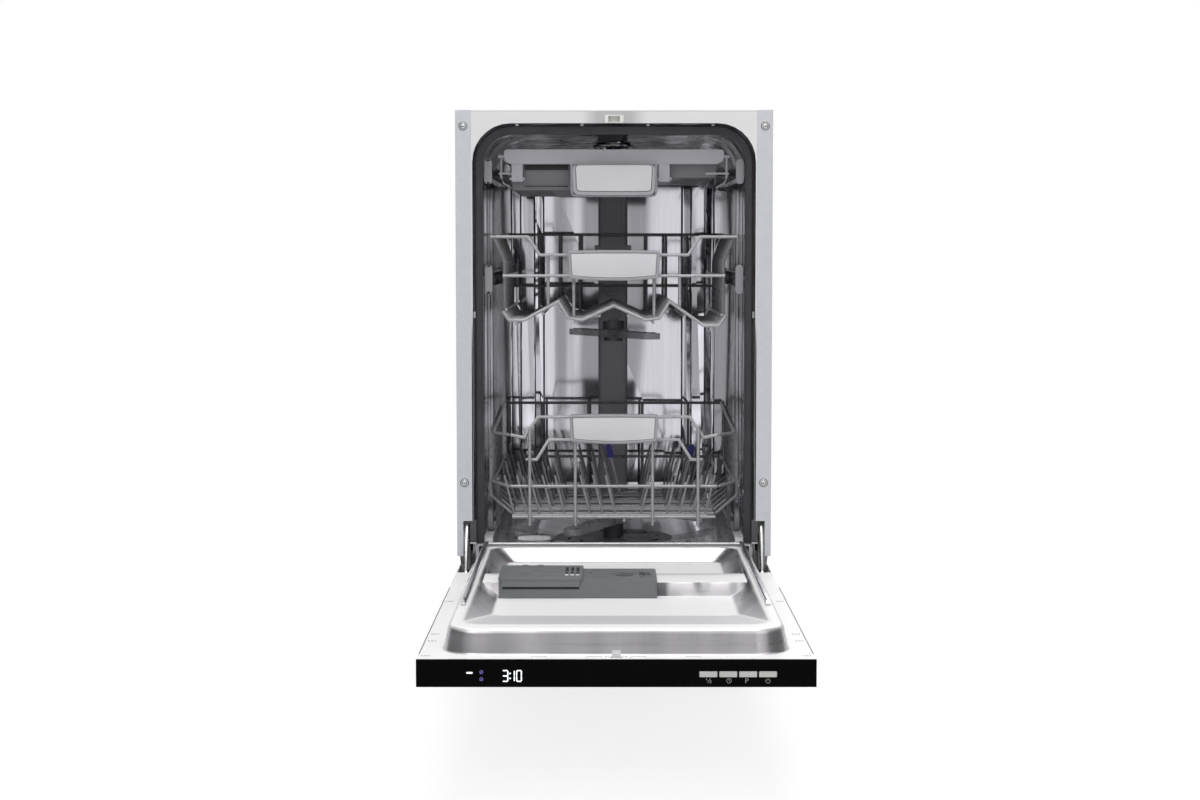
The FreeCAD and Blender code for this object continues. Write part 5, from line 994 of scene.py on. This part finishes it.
def tray_fittings():
    """Side hooks, pegs and rods at the ends of the cutlery tray's bar, and painted shade in the gaps of its
    left insert.
    """
    end = 162
    rods = (
        (1.6, ((0, 56, 752), (0, 56, 722), (-3, 60, 714), (-14, 76, 708))),
        (2.6, ((-6, 55, 752), (4, 55, 752))),
        (1.6, ((-30, 54.5, 727.5), (3, 54.5, 727.5))),
    )
    hooks = Shape("tray_hooks")
    for side in (-1, 1):
        for radius, points in rods:
            hooks.tube([(side * (end + out), y, z) for out, y, z in points], radius)
    hooks.put(frame_grey, "cutlery_tray", "grey_plastic")
    gaps = Shape("tray_insert_gaps")
    sink = 0.05
    y = extent("tray_inserts")[0].y + sink
    for z0, z1 in ((733, 740), (709, 710.4)):
        # painted shade: dark cards in the gaps of the insert
        gaps.card(-128, -66, z0, z1, y, height=0.35, chamfer=0.1)
    gaps.put(dark_print_and_shade, "cutlery_tray", "dark_plastic")


def wheel_spokes(node):
    """Raised spokes in the dished outer faces of a pair of basket wheels."""
    low, high = extent(node)
    y, z = (low.y + high.y) / 2, (low.z + high.z) / 2
    count, half, inner, outer, sink = 5, 1.1, 7.4, 13.4, 2.0
    spokes = Shape(node + "_spokes")
    for side in (-1, 1):
        out = Vector((side, 0, 0))
        centre = Vector((side * (high.x - sink), y, z))
        for t in arc(count):
            u = Vector((0, math.cos(t), math.sin(t)))
            v = Vector((0, -math.sin(t), math.cos(t))) * half
            near, far = centre + u * inner, centre + u * outer
            spokes.plate([near - v, far - v, far + v, near + v], out, height=1.5, chamfer=0.3)
    spokes.put(grey_plastic, node, "grey_plastic")


def plinth_clips():
    """Moulded clips on the plinth cover."""
    half, sink = 7, 0.1
    y = extent("kick_plate")[0].y + sink
    clips = Shape("plinth_clips")
    for x in (-190, -95, 0, 95, 190):
        clips.card(x - half, x + half, 100, 112, y, height=1.7, chamfer=0.6)
    clips.put(black_plastic, "cabinet", "black_plastic")


def add_details():
    """All pieces that only the looks have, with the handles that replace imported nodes."""
    display()
    button_signs()
    flange_screws()
    body_screws()
    hinge_shade_covers()
    striker_pocket()
    gasket_clips()
    rack_handle("upper_handle", "upper_basket")
    rack_handle("lower_handle", "lower_basket")
    tray_plate("tray_handle", "cutlery_tray")
    door_marks()
    dispenser_marks()
    arm_jets("lower_arm_jets", "lower_spray_arm", centre=255, height=206, reach=168, turn=67)
    arm_jets("upper_arm_jets", "upper_spray_arm", centre=247, height=494, reach=118, turn=-58)
    sprayer_jets()
    tray_fittings()
    wheel_spokes("wheels_front")
    wheel_spokes("wheels_rear")
    plinth_clips()


# Studio, in metres and watts: lamps with their place, the point they face, their size and power
LAMPS = (
    ("key", (-1.3, -2.6, 2.3), (0, 0.1, 0.45), 1.6, 18),
    ("fill", (1.5, -2.4, 1.6), (0, 0.1, 0.4), 1.6, 11),
    ("front", (0, -3.3, 1.1), (0, 0.3, 0.5), 3.2, 8),
    ("top", (0, -0.5, 2.6), (0, -0.3, 0.2), 2.0, 36),
    ("back", (0.6, 2.4, 2.2), (0, 0.3, 0.5), 1.5, 16),
)
# Cards seen only in reflections, with their place, turn, size, and darkest and lightest tone
CARDS = (
    ("studio_wall", (0, -4.2, 1.6), (90, 0, 0), (9, 4.4), 0.12, 0.62),
    ("left_flag", (-1.7, -0.6, 0.6), (90, 0, 90), (2.6, 1.2), 0.08, 0.3),
    ("right_flag", (1.7, -0.6, 0.6), (90, 0, 90), (2.6, 1.2), 0.08, 0.3),
)


def stage_set():
    """Plain pale floor, white surroundings, soft studio lamps, cards and the camera."""
    bpy.ops.mesh.primitive_plane_add(size=60, location=(0, 0, 0))
    ground = bpy.context.object
    ground.name = "ground"
    ground.data.materials.append(floor_white())
    white_world()
    for settings in LAMPS:
        lamp(*settings)
    for settings in CARDS:
        mirrored_card(*settings)
    data = bpy.data.cameras.new("camera")
    data.lens = CAMERA_LENS
    data.shift_x = CAMERA_SHIFT
    camera = bpy.data.objects.new("camera", data)
    camera.location = CAMERA_PLACE
    camera.rotation_euler = (math.radians(90 - CAMERA_PITCH), 0, 0)
    bpy.context.scene.collection.objects.link(camera)
    bpy.context.scene.camera = camera


def mirrored_card(name, place, turn, size, dark, light):
    """Grey studio card with paler bands, seen only in reflections."""
    bpy.ops.mesh.primitive_plane_add(size=1, location=place, rotation=[math.radians(a) for a in turn])
    card = bpy.context.object
    card.name = name
    card.scale = (size[0], size[1], 1)
    card.visible_camera = False
    card.visible_diffuse = False
    card.visible_shadow = False
    card.visible_transmission = False
    material = bpy.data.materials.new(name)
    nodes, links = bare_tree(material)
    bands = nodes.new("ShaderNodeTexWave")
    bands.inputs["Scale"].default_value = 2.6
    bands.inputs["Distortion"].default_value = 1.5
    links.new(nodes.new("ShaderNodeTexCoord").outputs["Object"], bands.inputs["Vector"])
    glow = nodes.new("ShaderNodeEmission")
    tone = map_range(nodes, links, bands.outputs["Fac"], start=0.35, end=0.75, low=dark, high=light)
    links.new(tone, glow.inputs["Strength"])
    links.new(glow.outputs["Emission"], nodes.new("ShaderNodeOutputMaterial").inputs["Surface"])
    card.data.materials.append(material)


def floor_white():
    """Floor that looks white, also in reflections and through glass, with a soft shadow near the object."""
    material = bpy.data.materials.new("floor_white")
    nodes, links = bare_tree(material)
    diffuse = nodes.new("ShaderNodeBsdfDiffuse")
    diffuse.inputs["Color"].default_value = (0.9, 0.9, 0.9, 1)
    glow = nodes.new("ShaderNodeEmission")
    length = nodes.new("ShaderNodeVectorMath")
    length.operation = "LENGTH"
    links.new(nodes.new("ShaderNodeTexCoord").outputs["Object"], length.inputs[0])
    distance = length.outputs["Value"]
    near, far = 0.9, 2.0
    strength = map_range(nodes, links, distance, near, far, low=1.3, high=1.0)
    share = map_range(nodes, links, distance, near, far, low=0.6, high=1.0)
    links.new(strength, glow.inputs["Strength"])
    product = nodes.new("ShaderNodeMath")
    product.operation = "MULTIPLY"
    links.new(seen_rays(nodes, links), product.inputs[0])
    links.new(share, product.inputs[1])
    mix = nodes.new("ShaderNodeMixShader")
    links.new(product.outputs["Value"], mix.inputs["Fac"])
    links.new(diffuse.outputs["BSDF"], mix.inputs[1])
    links.new(glow.outputs["Emission"], mix.inputs[2])
    links.new(mix.outputs["Shader"], nodes.new("ShaderNodeOutputMaterial").inputs["Surface"])
    return material


def bare_tree(owner):
    """Nodes and links of a material or a world, with nothing in them yet."""
    owner.use_nodes = True
    owner.node_tree.nodes.clear()
    return owner.node_tree.nodes, owner.node_tree.links


def seen_rays(nodes, links):
    """One for rays from the camera, from gloss and through glass, and nought for the rest."""
    path = nodes.new("ShaderNodeLightPath")
    most = path.outputs["Is Camera Ray"]
    for name in ("Is Glossy Ray", "Is Transmission Ray"):
        larger = nodes.new("ShaderNodeMath")
        larger.operation = "MAXIMUM"
        links.new(most, larger.inputs[0])
        links.new(path.outputs[name], larger.inputs[1])
        most = larger.outputs["Value"]
    return most


def white_world():
    """World that looks white and lights the object gently."""
    world = bpy.data.worlds.new("studio")
    bpy.context.scene.world = world
    nodes, links = bare_tree(world)
    mix = nodes.new("ShaderNodeMixShader")
    links.new(seen_rays(nodes, links), mix.inputs["Fac"])
    for socket, strength in ((1, 0.22), (2, 1.0)):
        background = nodes.new("ShaderNodeBackground")
        background.inputs["Color"].default_value = (1, 1, 1, 1)
        background.inputs["Strength"].default_value = strength
        links.new(background.outputs["Background"], mix.inputs[socket])
    links.new(mix.outputs["Shader"], nodes.new("ShaderNodeOutputWorld").inputs["Surface"])


def lamp(name, place, target, size, power):
    """Square soft lamp facing a point."""
    data = bpy.data.lights.new(name, "AREA")
    data.size = size
    data.energy = power
    thing = bpy.data.objects.new(name, data)
    thing.location = place
    way = Vector(target) - Vector(place)
    thing.rotation_euler = way.to_track_quat("-Z", "Y").to_euler()
    bpy.context.scene.collection.objects.link(thing)


bpy.context.scene.view_settings.view_transform = "Standard"
dress_nodes()
add_details()
stage_set()
